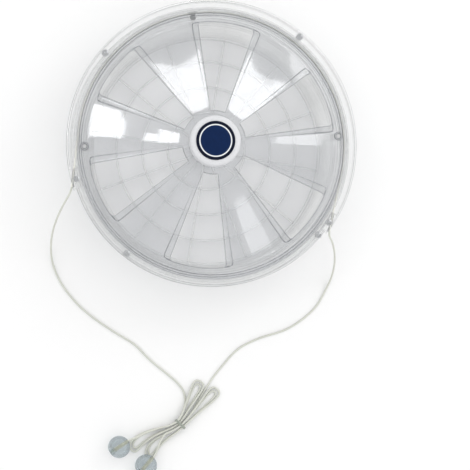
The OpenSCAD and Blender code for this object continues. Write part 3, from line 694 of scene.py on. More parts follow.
# Plan of the vented cone, in millimetres and degrees
CONE_FOOT = 94.6
CONE_SLOPE = 13
HUB_RADIUS = 24
SEAM_RADIUS = 22.5
OPENING_RADIUS = 93.5
OPENING_HALF = 13.5
OPENING_CORNER = 3
FIRST_OPENING = 22.5
OPENINGS = 6
SHEET = 1.6
LIP_ANGLE = 3
LIP_HEIGHT = 1.1
# Steps along a side, round a corner and along both arcs of an opening
SIDE_STEPS, CORNER_STEPS, RIM_STEPS, HUB_STEPS = 36, 8, 40, 20
LATTICE = FIRST_OPENING - 180 / OPENINGS
# Lower face of the fixed plate and of the shutter at the foot of the cone
PLATE_FOOT = 49.35
SHUTTER_FOOT = 51.95
# Direction and radius of each screw of the cover ring
COVER_SCREWS = [(50.5, 105.8), (139.5, 105.8), (231.5, 105.2), (319, 105.2)]
GUIDE_SCREW_RADIUS = 106
ANCHOR_AT, ANCHOR_RADIUS = 98, 97.7
STOP_PINS, STOP_PIN_RADIUS = (3.6, 180.9), 96.4
# The outdoor cowl's end and flange, and the grille's rings, bars and boss
COWL_END, COWL_WALL, COWL_FLANGE = 91.5, 98.9, 107
COWL_STEP, COWL_TOP, PANE_FACE = 24, 34, 37
GRILLE_LOW, GRILLE_TOP = 1.5, 6.0
GRILLE_RINGS = [(30, 1.6), (50, 1.6), (70, 1.6), (88.66, 2.2)]
BARS, FIRST_BAR, BAR_WIDTH = 12, 20, 1.4
BOSS_RADIUS, BOSS_TOP, BOLT_HOLE = 9.5, 14, 3.1
# Printed ring on the hub plate
PLATE_RING = 11.85


def polar(radius, angle):
    """Points of the plan at a radius and an angle in radians."""
    return np.stack([radius * np.cos(angle), radius * np.sin(angle)], -1)


def rise(radius):
    """Height of the cone over its foot at a radius."""
    inwards = CONE_FOOT - np.clip(radius, HUB_RADIUS, CONE_FOOT)
    return inwards * math.tan(math.radians(CONE_SLOPE))


def opening_plan():
    """Plan of one opening as a closed row of points: out along one side, round a corner, along
    the outer arc, round the other corner, back along the other side and along the inner arc."""
    half, r = math.radians(OPENING_HALF), OPENING_CORNER
    inset = math.asin(r / (OPENING_RADIUS - r))
    touch = (OPENING_RADIUS - r) * math.cos(inset)
    out = np.linspace(HUB_RADIUS, touch, SIDE_STEPS + 1)
    bend = np.linspace(-half - math.pi / 2, inset - half, CORNER_STEPS + 1)[:-1]
    corner = polar(OPENING_RADIUS - r, inset - half) + r * polar(1, bend)
    across = np.linspace(inset - half, half - inset, RIM_STEPS - CORNER_STEPS + 1)[:-1]
    bend = np.linspace(half - inset, half + math.pi / 2, CORNER_STEPS + 1)[:-1]
    other = polar(OPENING_RADIUS - r, half - inset) + r * polar(1, bend)
    hub = np.linspace(half, -half, HUB_STEPS + 1)[:-1]
    return np.vstack([
        polar(out[:-1], -half), corner, polar(OPENING_RADIUS, across), other,
        polar(out[:0:-1], half), polar(HUB_RADIUS, hub),
    ])


def cell_plan():
    """Plan of the sixth of the cone round one opening, with as many points as the opening."""
    half = math.pi / OPENINGS
    out = np.linspace(SEAM_RADIUS, CONE_FOOT, SIDE_STEPS + CORNER_STEPS // 2 + 1)
    across = np.linspace(-half, half, RIM_STEPS + 1)
    hub = np.linspace(half, -half, HUB_STEPS + 1)
    return np.vstack([
        polar(out[:-1], -half), polar(CONE_FOOT, across[:-1]), polar(out[:0:-1], half),
        polar(SEAM_RADIUS, hub[:-1]),
    ])


def vented_cone(low, lip, top_round=0.4, low_round=0.3):
    """A conical sheet with its openings. Each opening's plan is blended into the plan of its
    sixth. Going from the lower face to the upper one, the sheet turns round the opening in two
    quarter circles, and the lips stand as far as the lip's share of the way to the next plan."""
    hole, cell = opening_plan(), cell_plan()
    ahead = np.roll(hole, -1, 0) - np.roll(hole, 1, 0)
    away = np.stack([ahead[:, 1], -ahead[:, 0]], -1)
    away /= np.linalg.norm(away, axis=1)[:, None]
    g = np.radians([30, 60, 90])
    e, f = low_round, top_round
    share = LIP_ANGLE / (180 / OPENINGS - OPENING_HALF)
    foot = np.array([-0.014, -0.006, 0.002, 0.009, 0.017]) + share
    # Each level: way to the cell's plan, distance from the opening, side, height and lip
    levels = np.array(
        [(t, e, 0, 0, 0) for t in (1, 0.6, 0.25, 0.08, 0)]
        + [(0, e - e * math.sin(q), 0, e - e * math.cos(q), 0) for q in g]
        + [(0, f - f * math.cos(q), 1, f * math.sin(q) - f, 1) for q in (0, *g)]
        + [(t, f, 1, 0, 1) for t in (0.015, 0.09, 0.152)]
        + [(t, f, 1, 0, k) for t, k in zip(foot, (1, 0.87, 0.5, 0.13, 0))]
        + [(t, f, 1, 0, 0) for t in (0.215, 0.5, 0.75, 1)]
    )
    t, d, up, over, lipped = levels.T
    plan = (1 - t)[:, None, None] * (hole + d[:, None, None] * away) + t[:, None, None] * cell
    run = np.clip((np.linalg.norm(hole, axis=1) - HUB_RADIUS - 1) / 2, 0, 1)
    fade = run * run * (3 - 2 * run)
    ends = np.linspace(1, 0, CORNER_STEPS)
    first = SIDE_STEPS + RIM_STEPS - CORNER_STEPS
    fade[SIDE_STEPS : SIDE_STEPS + CORNER_STEPS] = ends
    fade[SIDE_STEPS + CORNER_STEPS : first + CORNER_STEPS] = 0
    fade[first + CORNER_STEPS : first + 2 * CORNER_STEPS] = ends[::-1]
    radius = np.linalg.norm(plan, axis=2)
    z = low + rise(radius) + (up * SHEET + over)[:, None] + lip * lipped[:, None] * fade
    one = np.concatenate([plan, z[..., None]], -1).reshape(-1, 3)
    faces = grid_faces(len(levels), len(hole), False, True)
    return joined(*[
        set_at((one, faces), FIRST_OPENING + 360 * i / OPENINGS, 0) for i in range(OPENINGS)
    ])


def lattice(steps):
    """Angles of the columns that meet the sixths' own points."""
    return LATTICE + 360 * np.arange(steps) / steps


def stepped_ring(section_at, closed):
    """A turned strip whose section changes at the cord guides: every angle of the lattice has
    two columns, the end of one stretch and the start of the next. Section_at gives the section
    along the cord's arc for 0, beside a guide for 1 and below the guides for 2."""
    steps = RIM_STEPS * OPENINGS
    start = lattice(steps)
    pitch = 360 / steps
    off = np.abs((start + pitch / 2 - ARC_MIDDLE + 180) % 360 - 180)
    kind = np.where(off < GUIDE_FROM, 0, np.where(off < GUIDE_TO, 1, 2))
    sections = np.array([section_at(k) for k in range(3)])[kind]
    both = np.repeat(sections, 2, axis=0)
    angles = np.stack([start, start + pitch], -1).ravel()
    return turned(both, angles, True, closed)


def pan_screw(shank, head, height, deep):
    """A screw: its shank goes deep below the head's seat. The domed head's height falls with the
    square of the radius, and the recess lowers it where the place is in an arm of the cross."""
    steps, rings, recess = 48, 10, 0.55
    a = 2 * math.pi * np.arange(steps) / steps
    rows = [(shank / 2 - 0.4, -deep), (shank / 2, -deep + 0.5), (shank / 2, 0), (head / 2, 0),
            (head / 2, 0.3 * height)]
    below = np.array(rows)[:, None, :] * np.ones((1, steps, 1))
    r = (head / 2 * np.linspace(0.97, 0.02, rings))[:, None] * np.ones((1, steps))
    dome = height * (1 - 0.55 * (2 * r / head) ** 2)
    x, y = np.abs(r * np.cos(a)), np.abs(r * np.sin(a))
    arm = np.minimum(x, y) < 0.1 * head
    z = dome - recess * (arm & (r < 0.3 * head))
    above = np.stack([r, z], -1)
    grid = np.concatenate([below, above])
    points = np.stack([
        grid[..., 0] * np.cos(a), grid[..., 0] * np.sin(a), grid[..., 1],
    ], -1).reshape(-1, 3)
    n = len(grid)
    faces = grid_faces(n, steps, False, True)
    faces += [list(range(steps)), list(range((n - 1) * steps, n * steps))[::-1]]
    return points, faces


def bar(wide, low, high, start, end, ease):
    """A grille bar along the radius: its section has eased top edges."""
    h = wide / 2
    section = rounded([(-h, low), (h, low), (h, high), (-h, high)], [0.2, 0.2, ease, ease], 4)
    n = len(section)
    points = np.array([[(x, y, z) for y, z in section] for x in (start, end)]).reshape(-1, 3)
    ends = [list(range(n)), list(range(2 * n - 1, n - 1, -1))]
    return points, grid_faces(2, n, False, True) + ends


class VENTILATOR_OT_stage(bpy.types.Operator):
    """Adds the floor, the lights and the camera"""

    bl_idname = "ventilator.stage"
    bl_label = "Stage"

    def execute(self, context):
        studio = context.scene.ventilator_studio
        self.add_camera(context, studio)
        self.add_floor(context)
        self.add_lights(context, studio)
        context.scene.view_settings.view_transform = "Standard"
        # A line of sight through the rim meets more clear faces than the default follows
        context.scene.cycles.transparent_max_bounces = 48
        return {"FINISHED"}

    def add_camera(self, context, studio):
        """The camera stands at the eye, looks at the aim and is rolled about its axis."""
        data = bpy.data.cameras.new("camera")
        data.sensor_width = 36.0
        data.lens = studio.lens
        data.clip_end = 20.0
        camera = bpy.data.objects.new("camera", data)
        context.scene.collection.objects.link(camera)
        eye, aim = Vector(studio.eye), Vector(studio.aim)
        look = (aim - eye).normalized()
        right = look.cross(Vector((0, 1, 0))).normalized()
        up = right.cross(look)
        c, s = math.cos(studio.roll), math.sin(studio.roll)
        right, up = c * right + s * up, c * up - s * right
        facing = Matrix((right, up, -look)).transposed().to_4x4()
        camera.matrix_world = Matrix.Translation(eye) @ facing
        context.scene.camera = camera

    def add_floor(self, context):
        """A pale floor that takes shadows, with a painted shadow close under the part, and is
        white where it is mirrored or seen through.
        """
        material, start = shader("floor")
        path = start.node("ShaderNodeLightPath")
        seen = Wire(start.tree, path.outputs["Is Camera Ray"])
        for kind in ("Is Glossy Ray", "Is Transmission Ray"):
            seen = start.maths("MAXIMUM", seen, path.outputs[kind])
        # Clear plastic throws hardly any shadow here, so a shadow is painted on the floor close
        # under
        # it: its colour is darker where ambient occlusion finds little open sky
        open_sky = start.out("ShaderNodeAmbientOcclusion", {"samples": 8}, output=1, Distance=0.09)
        lit = start.out("ShaderNodeBsdfDiffuse", Color=blend_colours(
            start, open_sky.step(0.1, 0.8), (0.82, 0.825, 0.835), (0.96, 0.96, 0.96)
        ))
        bright = start.out("ShaderNodeEmission", Color=(1, 1, 1, 1), Strength=1.0)
        surface(start, start.out("ShaderNodeMixShader", i0=seen * 0.08, i1=lit, i2=bright))
        mesh = bpy.data.meshes.new("floor")
        far = 6.0
        mesh.from_pydata([(-far, -far, 0), (far, -far, 0), (far, far, 0), (-far, far, 0)], [],
                         [(0, 1, 2, 3)])
        mesh.materials.append(material)
        floor = bpy.data.objects.new("floor", mesh)
        floor.location.z = -0.0002
        context.scene.collection.objects.link(floor)

    def add_lights(self, context, studio):
        """Even light from all round, a key lamp, and lamps that the clear sectors mirror."""
        world = bpy.data.worlds.new("studio")
        world.use_nodes = True
        background = world.node_tree.nodes["Background"]
        background.inputs[0].default_value = (1, 1, 1, 1)
        background.inputs[1].default_value = studio.ambient
        context.scene.world = world
        # Name, place, direction on the part that its width lies across, width, height and
        # brightness, where 1 is as bright as white paper
        for name, at, facing, wide, high, bright in (
            ("key", (0.9, 0.6, 0.9), 34.0, 0.6, 0.6, 1.8),
            ("strip_back", (-0.115, 0.72, 1.17), 112.5, 0.35, 0.085, 3.4),
            ("strip_right", (0.5, 0.63, 1.12), 52.5, 0.34, 0.08, 3.4),
            ("pane_left_low", (-0.5, 0.22, 1.26), 172.5, 0.16, 0.035, 4.0),
            ("pane_left_middle", (-0.53, 0.2, 1.25), 172.5, 0.08, 0.02, 4.0),
            ("pane_left_high", (-0.59, 0.28, 1.22), 172.5, 0.19, 0.075, 4.5),
            ("panel_side", (0.77, 0.16, 1.1), 352.5, 0.07, 0.07, 2.0),
            ("panel_front", (0.41, -0.49, 1.22), 292.5, 0.14, 0.08, 1.4),
        ):
            data = bpy.data.lights.new(name, "AREA")
            data.shape = "RECTANGLE"
            data.size, data.size_y = wide, high
            data.energy = bright * math.pi * wide * high
            lamp = bpy.data.objects.new(name, data)
            context.scene.collection.objects.link(lamp)
            back = Vector(at).normalized()
            a = math.radians(facing)
            across = Vector((-math.sin(a), math.cos(a), 0))
            across = (across - across.dot(back) * back).normalized()
            stand = Matrix((across, back.cross(across), back)).transposed().to_4x4()
            lamp.matrix_world = Matrix.Translation(Vector(at)) @ stand


class VENTILATOR_OT_cords(bpy.types.Operator):
    """Adds both pull cords with their hanks, knots, balls and the tie"""

    bl_idname = "ventilator.cords"
    bl_label = "Pull cords"

    def execute(self, context):
        look = context.scene.ventilator_cord
        material = cord_material(look)
        glass = ball_material(look)
        tie = self.add_tie(plain_gloss("tie_strand", tuple(look.tie), 0.4, 0.3))
        for name, side, *route, ball, turn in (
            ("left", -1, LEFT_ROUTE, LEFT_NEAR, LEFT_JOIN, LEFT_LAY, LEFT_TAIL, LEFT_BALL,
             LEFT_BALL_TURN),
            ("right", 1, RIGHT_ROUTE, RIGHT_NEAR, RIGHT_JOIN, RIGHT_LAY, RIGHT_TAIL, RIGHT_BALL,
             RIGHT_BALL_TURN),
        ):
            path = whole_cord(look, side, *route, ball, turn)
            points, faces, uv = cord_tube(path, look.diameter / MM, look.sides)
            replaced = [name + "_lead", name + "_hank", name + "_tail"]
            cord = new_piece(name + "_cord", points, faces, FIXED, material, replaced, uv)
            bead = self.add_ball(look, name, ball, turn, glass)
            knot = self.add_knot(look, name, ball, turn, material)
            [x * MM for x in exit_point(side)]
        return {"FINISHED"}

    def add_ball(self, look, name, centre, turn, material):
        """A ball turned about its bore, with a pocket for the knot on its far side."""
        r, bore = look.ball / MM / 2, look.ball_bore / MM / 2
        pocket = 2.1
        a = np.linspace(math.asin(bore / r), math.pi - math.asin(pocket / r), 40)
        shell = np.stack([r * np.sin(a), r * np.cos(a)], -1)
        floor = -r + KNOT_POCKET
        inside = np.array([(pocket, floor + 0.3), (pocket - 0.3, floor), (bore, floor)])
        points, faces = lathe(np.vstack([shell, inside]), 72)
        points = points[:, [2, 0, 1]]
        bead = self.put(name + "_pull_ball", points, faces, centre, turn, material,
                        "ball_plastic", name + "_ball")
        drilled = bpy.data.materials.get("ball_bore") or bore_material(look)
        bead.data.materials.append(drilled)
        spots = np.zeros(len(bead.data.polygons) * 3)
        bead.data.polygons.foreach_get("center", spots)
        spots = spots.reshape(-1, 3) / MM - centre
        way = np.array([math.cos(math.radians(turn)), math.sin(math.radians(turn)), 0])
        off = np.sqrt(np.maximum((spots**2).sum(1) - (spots @ way) ** 2, 0))
        bead.data.polygons.foreach_set("material_index", (off < bore + 0.05).astype(np.int32))
        return bead

    def add_knot(self, look, name, centre, turn, material):
        """Overhand knot: a strand that winds three times round a ring while it goes twice round
        the bore's line, closed to a lump."""
        t = np.linspace(0, 2 * math.pi, 60)
        at = KNOT_POCKET - look.ball / MM / 2 - 1.7
        path = np.stack([
            at + 0.75 * np.sin(3 * t), (0.62 + 0.3 * np.cos(3 * t)) * np.cos(2 * t),
            (0.62 + 0.3 * np.cos(3 * t)) * np.sin(2 * t),
        ], -1)
        points, faces, uv = cord_tube(path, KNOT_STRAND, 10)
        return self.put(name + "_cord_knot", points, faces, centre, turn, material, "cord",
                        name + "_knot", uv)

    def put(self, name, points, faces, centre, turn, material, slot, node, uv=None):
        """Turns a piece about the upright and moves it to its ball."""
        points, faces = set_at((points, faces), 0, 0, 0, turn)
        return new_piece(name, points + centre, faces, FIXED, material, [node], uv, 40.0)

    def add_tie(self, material):
        """A thin strand wound twice round the waist as a rounded rectangle: the sine and cosine
        of its turn are raised to a power under one."""
        way = math.radians(TIE_TURN)
        top = corners_of("hank_tie")[1][2] - TIE_STRAND / 2
        t = np.linspace(-0.5 * math.pi, 3.5 * math.pi, 90)
        c, s = np.cos(t), np.sin(t)
        across = TIE_HALF * np.sign(c) * np.abs(c) ** TIE_SQUARE
        half = (top - TIE_STRAND) / 2
        height = top / 2 + half * np.sign(s) * np.abs(s) ** TIE_SQUARE
        along = np.linspace(-0.9, 0.9, len(t))
        path = np.stack([
            WAIST[0] + along * math.cos(way) - across * math.sin(way),
            WAIST[1] + along * math.sin(way) + across * math.cos(way), height,
        ], -1)
        points, faces, uv = cord_tube(path, TIE_STRAND, 10)
        return new_piece("tie_strand", points, faces, FIXED, material,
                         ["hank_tie"], uv)


class VENTILATOR_OT_frame(bpy.types.Operator):
    """Adds the room side's clear mouldings: the frame with its vented cone, the cover ring and
    the soft ring under the flange"""

    bl_idname = "ventilator.frame"
    bl_label = "Frame and cover ring"

    def execute(self, context):
        finish = context.scene.ventilator_finish
        clear = tuple(finish.clear)
        room = clear_plastic("clear_room_side", finish, clear, haze=0.005, gloss=0.04, flow=60.0,
                             line=0.4, wall=0.02, most=0.05)
        cover = clear_plastic("clear_cover", finish, clear, haze=0.01, gloss=0.05, flow=90.0,
                              line=0.4, wall=0.03, most=0.05)
        small = clear_plastic("clear_small_parts", finish, clear, haze=0.08, gloss=0.08,
                              flow=200.0, line=0.5, wall=0.2)
        self.add_frame(room)
        self.add_cover(cover)
        self.add_gaskets(finish, clear)
        for node in ("cord_guide_left", "cord_guide_right", "cord_anchor"):
            give(node, small)
        self.add_stop_pins(finish, clear)
        return {"FINISHED"}

    def add_gaskets(self, finish, clear):
        """Soft rings between the flanges and the pane."""
        soft = clear_plastic("soft_seal", finish, clear, haze=0.08, gloss=0.3, flow=300.0,
                             line=0.1, wall=0.1, milk=(0.9, 0.9, 0.9))
        inner = 98.5
        for node in ("front_gasket", "rear_gasket"):
            low, high = corners_of(node)
            profile = rounded(
                [(inner, low[2]), (high[0], low[2]), (high[0], high[2]), (inner, high[2])], 0.4, 4
            )
            points, faces = lathe(profile, 180)
            new_piece(node + "_ring", points, faces, FIXED, soft, [node])

    def add_stop_pins(self, finish, clear):
        """Pins of the shutter with a collar and a dished round head, each a turned profile."""
        heads = clear_plastic("clear_pins", finish, clear, haze=0.3, gloss=0.08, flow=200.0,
                              line=0.9, wall=0.3)
        pin = [
            (0, 48.7), (1.2, 48.7), (1.2, 53.6), (2.1, 53.6), (2.1, 55), (3.3, 55), (3.3, 55.7),
            (2.75, 56.3), (2.3, 56.3), (1.6, 55.7), (0, 55.7),
        ]
        ease = [0, 0.2, 0, 0.1, 0.1, 0.1, 0.15, 0.15, 0.15, 0.3, 0]
        for number, angle in enumerate(STOP_PINS):
            points, faces = set_at(lathe(rounded(pin, ease, 5), 48), angle, STOP_PIN_RADIUS)
            new_piece("stop_pin_%d" % number, points, faces, TURNING, heads,
                      ["stop_pins"])

    def add_frame(self, material):
        """The vented cone, the hub disc, the stepped rim with its sleeve and the screw posts."""
        plate = PLATE_FOOT

        def section(kind):
            edge = (RIM_RADIUS, RIM_RADIUS, LOW_RIM_RADIUS)[kind]
            high = (WALL_TOP, RIM_FLOOR + 0.02, WALL_TOP)[kind]
            corners = [
                (CONE_FOOT, plate + SHEET), (CONE_FOOT, RIM_FLOOR), (WALL_IN, RIM_FLOOR),
                (WALL_IN, WALL_TOP), (WALL_OUT, WALL_TOP), (WALL_OUT, RIM_FLOOR),
                (edge - WALL, RIM_FLOOR), (edge - WALL, high), (edge, high), (edge, FLANGE_LOW),
                (SLEEVE_OUT, FLANGE_LOW), (SLEEVE_OUT, SLEEVE_END), (SLEEVE_IN, SLEEVE_END),
                (SLEEVE_IN, plate), (CONE_FOOT, plate),
            ]
            ease = [0, 0.2, 0.4, 0.35, 0.35, 0.4, 0.4, 0.4, 0.4, 0.8, 0.5, 0.5, 0.5, 0, 0]
            return rounded(corners, ease, 5)

        hub = [
            (SEAM_RADIUS, 67.25), (BOLT_HOLE, 67.25), (BOLT_HOLE, 60.65), (7.1, 60.65),
            (7.1, 65.65), (SEAM_RADIUS, 65.65),
        ]
        hub_strip = turned(
            rounded(hub, [0, 0.2, 0.2, 0.5, 0.5, 0], 4), lattice(HUB_STEPS * OPENINGS), True, False
        )
        posts = []
        for angle, radius in COVER_SCREWS:
            post = rounded([(0, 49.6), (2.2, 49.6), (2.2, 55.4), (0, 55.4)], [0, 0, 0.3, 0], 4)
            posts.append(set_at(lathe(post, 28), angle, radius))
        points, faces = joined(
            vented_cone(plate, 0.0), hub_strip, stepped_ring(section, False), *posts
        )
        new_piece("clear_frame", points, faces, FIXED, material, ["front_frame"])

    def add_cover(self, material):
        """The flat ring with eased edges, and a collar round each of its screws."""
        low, high = WALL_TOP, COVER_TOP

        def section(kind):
            edge = (RIM_RADIUS, WALL_OUT + 0.25, LOW_RIM_RADIUS)[kind]
            corners = [
                (100.6, low), (edge, low), (edge, high - 0.35), (edge - 1.3, high - 0.25),
                (edge - 1.5, high), (102.3, high), (102.1, high - 0.25), (100.6, high - 0.35),
            ]
            return rounded(corners, [0.3, 0.4, 0.4, 0.1, 0.2, 0.2, 0.1, 0.4], 4)

        collar = rounded([(2.6, 57), (3.3, 57), (3.3, 57.7), (2.6, 57.7)], [0, 0, 0.2, 0.2], 4)
        collars = [set_at(lathe(collar, 36), angle, radius) for angle, radius in COVER_SCREWS]
        points, faces = joined(stepped_ring(section, True), *collars)
        new_piece("clear_cover_ring", points, faces, FIXED, material, ["cover_ring"])


class VENTILATOR_OT_shutter(bpy.types.Operator):
    """Adds the turning shutter: a vented cone with lips beside its openings and a grooved edge"""

    bl_idname = "ventilator.shutter"
    bl_label = "Shutter"

    def execute(self, context):
        finish = context.scene.ventilator_finish
        shutter_tint = tuple(finish.shutter_tint)
        material = clear_plastic("clear_shutter", finish, shutter_tint, haze=0.015, gloss=0.03,
                                 flow=45.0, line=0.9, wall=0.06)
        low = SHUTTER_FOOT
        high = low + SHEET
        groove_low, groove_high = EDGE_LOW + 0.9, EDGE_TOP - 0.9
        edge = [
            (CONE_FOOT, high), (EDGE_IN, high), (EDGE_IN, EDGE_TOP), (EDGE_OUT, EDGE_TOP),
            (EDGE_OUT, groove_high), (GROOVE, groove_high), (GROOVE, groove_low),
            (EDGE_OUT, groove_low), (EDGE_OUT, EDGE_LOW), (EDGE_IN, EDGE_LOW), (EDGE_IN, low),
            (CONE_FOOT, low),
        ]
        ease = [0, 0.5, 0.4, 0.3, 0.2, 0.8, 0.8, 0.2, 0.3, 0.4, 0.4, 0]
        rim = turned(rounded(edge, ease, 4), lattice(RIM_STEPS * OPENINGS), True, False)
        hub = [
            (SEAM_RADIUS, 69.85), (10.6, 69.85), (10.6, 73.25), (6.08, 73.25), (6.08, 68.25),
            (SEAM_RADIUS, 68.25),
        ]
        hub_strip = turned(
            rounded(hub, [0, 0.6, 0.4, 0.2, 0.2, 0], 4), lattice(HUB_STEPS * OPENINGS), True, False
        )
        points, faces = joined(vented_cone(low, LIP_HEIGHT), hub_strip, rim)
        new_piece("clear_shutter_disc", points, faces, TURNING, material,
                  ["shutter"])
        return {"FINISHED"}


class VENTILATOR_OT_cowl(bpy.types.Operator):
    """Adds the outdoor cowl and its grille of rings and bars"""

    bl_idname = "ventilator.cowl"
    bl_label = "Cowl and grille"

    def execute(self, context):
        finish = context.scene.ventilator_finish
        clear = tuple(finish.clear)
        cowl = clear_plastic("clear_cowl", finish, clear, haze=0.01, gloss=0.08, flow=80.0,
                             line=0.2, wall=0.2, most=0.06)
        grille = clear_plastic("clear_grille", finish, clear, haze=0.14, gloss=0.1, flow=80.0,
                               line=0.04, wall=0.03, milk=(0.93, 0.93, 0.93), most=0.06)
        thick, mouth = 2, 88.1
        corners = [
            (mouth, 0), (COWL_END, 0), (COWL_WALL, COWL_STEP), (COWL_WALL, COWL_TOP),
            (COWL_FLANGE - 1, COWL_TOP), (COWL_FLANGE, COWL_TOP + 1), (COWL_FLANGE, PANE_FACE),
            (COWL_WALL - thick, PANE_FACE), (COWL_WALL - thick, COWL_STEP), (89.95, GRILLE_LOW),
            (mouth, GRILLE_LOW),
        ]
        ease = [0.3, 0.8, 3, 1, 0.3, 0.5, 0.3, 0.3, 3, 0.4, 0.3]
        points, faces = lathe(rounded(corners, ease, 6), 200)
        new_piece("clear_cowl_wall", points, faces, FIXED, cowl, ["rear_cowl"])
        low, high = GRILLE_LOW, GRILLE_TOP
        parts = []
        for radius, wide in GRILLE_RINGS:
            r1, r2 = radius - wide / 2, radius + wide / 2
            ring = rounded([(r1, low), (r2, low), (r2, high), (r1, high)], [0.2, 0.2, 0.6, 0.6], 4)
            parts.append(lathe(ring, 160))
        boss = [
            (BOLT_HOLE, 7), (7.2, 7), (7.2, 0), (BOSS_RADIUS, 0), (BOSS_RADIUS, BOSS_TOP),
            (BOLT_HOLE, BOSS_TOP),
        ]
        parts.append(lathe(rounded(boss, [0.2, 0.3, 0.3, 0.4, 1, 0.3], 5), 80))
        # Bars end inside the boss and the outer ring, 0.1 mm off the rings' faces
        one = bar(BAR_WIDTH, low + 0.1, high - 0.1, BOSS_RADIUS - 0.9, 88.6, 0.55)
        parts += [set_at(one, FIRST_BAR + 360 / BARS * k, 0) for k in range(BARS)]
        points, faces = joined(*parts)
        new_piece("clear_ring_grille", points, faces, FIXED, grille, ["rear_grille"])
        return {"FINISHED"}


class VENTILATOR_OT_hub(bpy.types.Operator):
    """Adds the hub cap with its plate, and finishes the metal pieces under it"""

    bl_idname = "ventilator.hub"
    bl_label = "Hub"

    def execute(self, context):
        finish = context.scene.ventilator_finish
        low, high = corners_of("hub_cap")
        radius, base, top = high[0], low[2], high[2]
        white = plain_gloss("cap_white", tuple(finish.cap), 0.3, 0.1)
        wall, foot_in, foot_out = 1.8, 6.1, 8.5
        foot = corners_of("thrust_washer")[1][2]
        profile = rounded(
            [(0, top), (radius, top), (radius, base), (radius - wall, base),
             (radius - wall, top - wall), (foot_out, top - wall), (foot_out, foot),
             (foot_in, foot), (foot_in, top - wall), (0, top - wall)],
            [0, 2.6, 0.3, 0.3, 1.0, 0.5, 0.2, 0.2, 0.5, 0], 8,
        )
        points, faces = lathe(profile, 128)
        new_piece("cap_shell", points, faces, FIXED, white, ["hub_cap"])
        low, high = corners_of("hub_badge")
        r, z1, z2 = high[0], low[2], high[2]
        profile = rounded([(0, z2), (r, z2), (r, z1), (0, z1)], [0, 0.25, 0, 0], 5)
        points, faces = lathe(profile, 128)
        plate = hub_plate_material(finish, PLATE_RING * MM)
        new_piece("cap_plate", points, faces, FIXED, plate, ["hub_badge"])
        steel = plain_gloss("plated_steel", tuple(finish.steel), 0.22, 0.2, 1.0)
        white_bearing = plain_gloss("bearing_white", tuple(finish.bearing), 0.45, 0.2)
        for node in ("clamp_bolt", "thrust_washer", "disc_spring", "bolt_washer", "bolt_nut"):
            give(node, steel)
        give("pivot_bush", white_bearing)
        return {"FINISHED"}


class VENTILATOR_OT_screws(bpy.types.Operator):
    """Adds the screws of the cover ring, of the cord guides and of the anchor"""

    bl_idname = "ventilator.screws"
    bl_label = "Screws"

    def execute(self, context):
        finish = context.scene.ventilator_finish
        bright = plain_gloss("bright_screws", tuple(finish.steel), 0.18, 0.2, 1.0)
        for number, (angle, radius) in enumerate(COVER_SCREWS):
            self.add(number, angle, radius, COVER_TOP, pan_screw(2.4, 5, 1.4, 6.3), bright,
                     "cover_screws", FIXED)
        half = TANGENT_HALF + math.degrees(math.acos((CORD_RUN - 2.5) / GUIDE_SCREW_RADIUS))
        for number, side in enumerate((-1, 1)):
            self.add(number, ARC_MIDDLE - side * half, GUIDE_SCREW_RADIUS, COVER_TOP,
                     pan_screw(1.8, 4.8, 1.3, 8.9), bright, "guide_screws", FIXED)
        dull = plain_gloss("dull_screw", tuple(0.65 * c for c in finish.steel), 0.3, 0.2, 1.0)
        self.add(0, ANCHOR_AT, ANCHOR_RADIUS, EDGE_TOP, pan_screw(2.2, 4.8, 1.3, 2.95), dull,
                 "anchor_screw", TURNING)
        return {"FINISHED"}

    def add(self, number, angle, radius, height, screw, material, node, body):
        """Stands one screw on its face, each with its cross turned further."""
        points, faces = set_at(screw, angle, radius, height, 20 + 37 * number)
        new_piece("%s_%d" % (node, number), points, faces, body, material, [node])


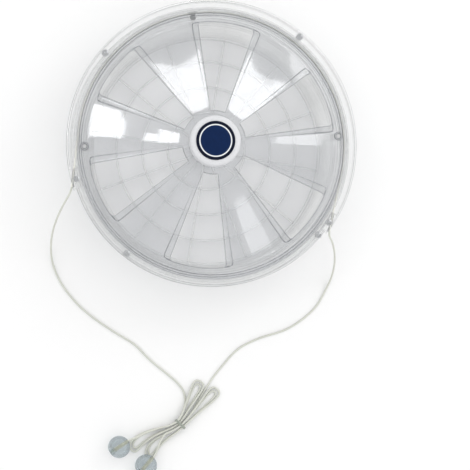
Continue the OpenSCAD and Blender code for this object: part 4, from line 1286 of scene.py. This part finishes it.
class VENTILATOR_OT_rim_cord(bpy.types.Operator):
    """Adds the cord that runs in the rim's channel"""

    bl_idname = "ventilator.rim_cord"
    bl_label = "Cord in the rim"

    def execute(self, context):
        look = context.scene.ventilator_cord
        a = np.radians(np.linspace(ARC_MIDDLE + TANGENT_HALF, ARC_MIDDLE - TANGENT_HALF, 120))
        arc = np.stack([CORD_RUN * np.cos(a), CORD_RUN * np.sin(a), 0 * a + CORD_HEIGHT], -1)
        spread = np.linspace(0, 1, 12)[:, None]
        left = arc[:1] + (np.array([exit_point(-1)]) - arc[:1]) * spread
        right = arc[-1:] + (np.array([exit_point(1)]) - arc[-1:]) * spread
        path = np.vstack([left[::-1], arc[1:-1], right])
        points, faces, uv = cord_tube(path, look.diameter / MM, look.sides)
        new_piece("channel_cord", points, faces, FIXED, bpy.data.materials["cord"],
                  ["rim_cord"], uv)
        return {"FINISHED"}


class VENTILATOR_PT_panel(bpy.types.Panel):
    """Lists the pieces of the ventilator"""

    bl_idname = "VENTILATOR_PT_panel"
    bl_label = "Window ventilator"
    bl_space_type = "VIEW_3D"
    bl_region_type = "UI"
    bl_category = "Ventilator"

    def draw(self, context):
        column = self.layout.column()
        for operator in OPERATORS:
            column.operator(operator.bl_idname)
        for group in ("ventilator_finish", "ventilator_cord", "ventilator_studio"):
            settings = getattr(context.scene, group)
            for key in settings.__annotations__:
                column.prop(settings, key)


GROUPS = {
    "ventilator_finish": VentilatorFinish,
    "ventilator_cord": CordFinish,
    "ventilator_studio": StudioSettings,
}
OPERATORS = (
    VENTILATOR_OT_stage,
    VENTILATOR_OT_cords,
    VENTILATOR_OT_rim_cord,
    VENTILATOR_OT_frame,
    VENTILATOR_OT_shutter,
    VENTILATOR_OT_cowl,
    VENTILATOR_OT_hub,
    VENTILATOR_OT_screws,
)


def register():
    for cls in (*GROUPS.values(), *OPERATORS, VENTILATOR_PT_panel):
        bpy.utils.register_class(cls)
    for name, cls in GROUPS.items():
        setattr(bpy.types.Scene, name, PointerProperty(type=cls))


def unregister():
    for name in GROUPS:
        delattr(bpy.types.Scene, name)
    for cls in reversed((*GROUPS.values(), *OPERATORS, VENTILATOR_PT_panel)):
        bpy.utils.unregister_class(cls)


def main():
    register()
    bpy.ops.ventilator.stage()
    bpy.ops.ventilator.cords()
    bpy.ops.ventilator.rim_cord()
    bpy.ops.ventilator.frame()
    bpy.ops.ventilator.shutter()
    bpy.ops.ventilator.cowl()
    bpy.ops.ventilator.hub()
    bpy.ops.ventilator.screws()


if __name__ == "__main__":
    main()
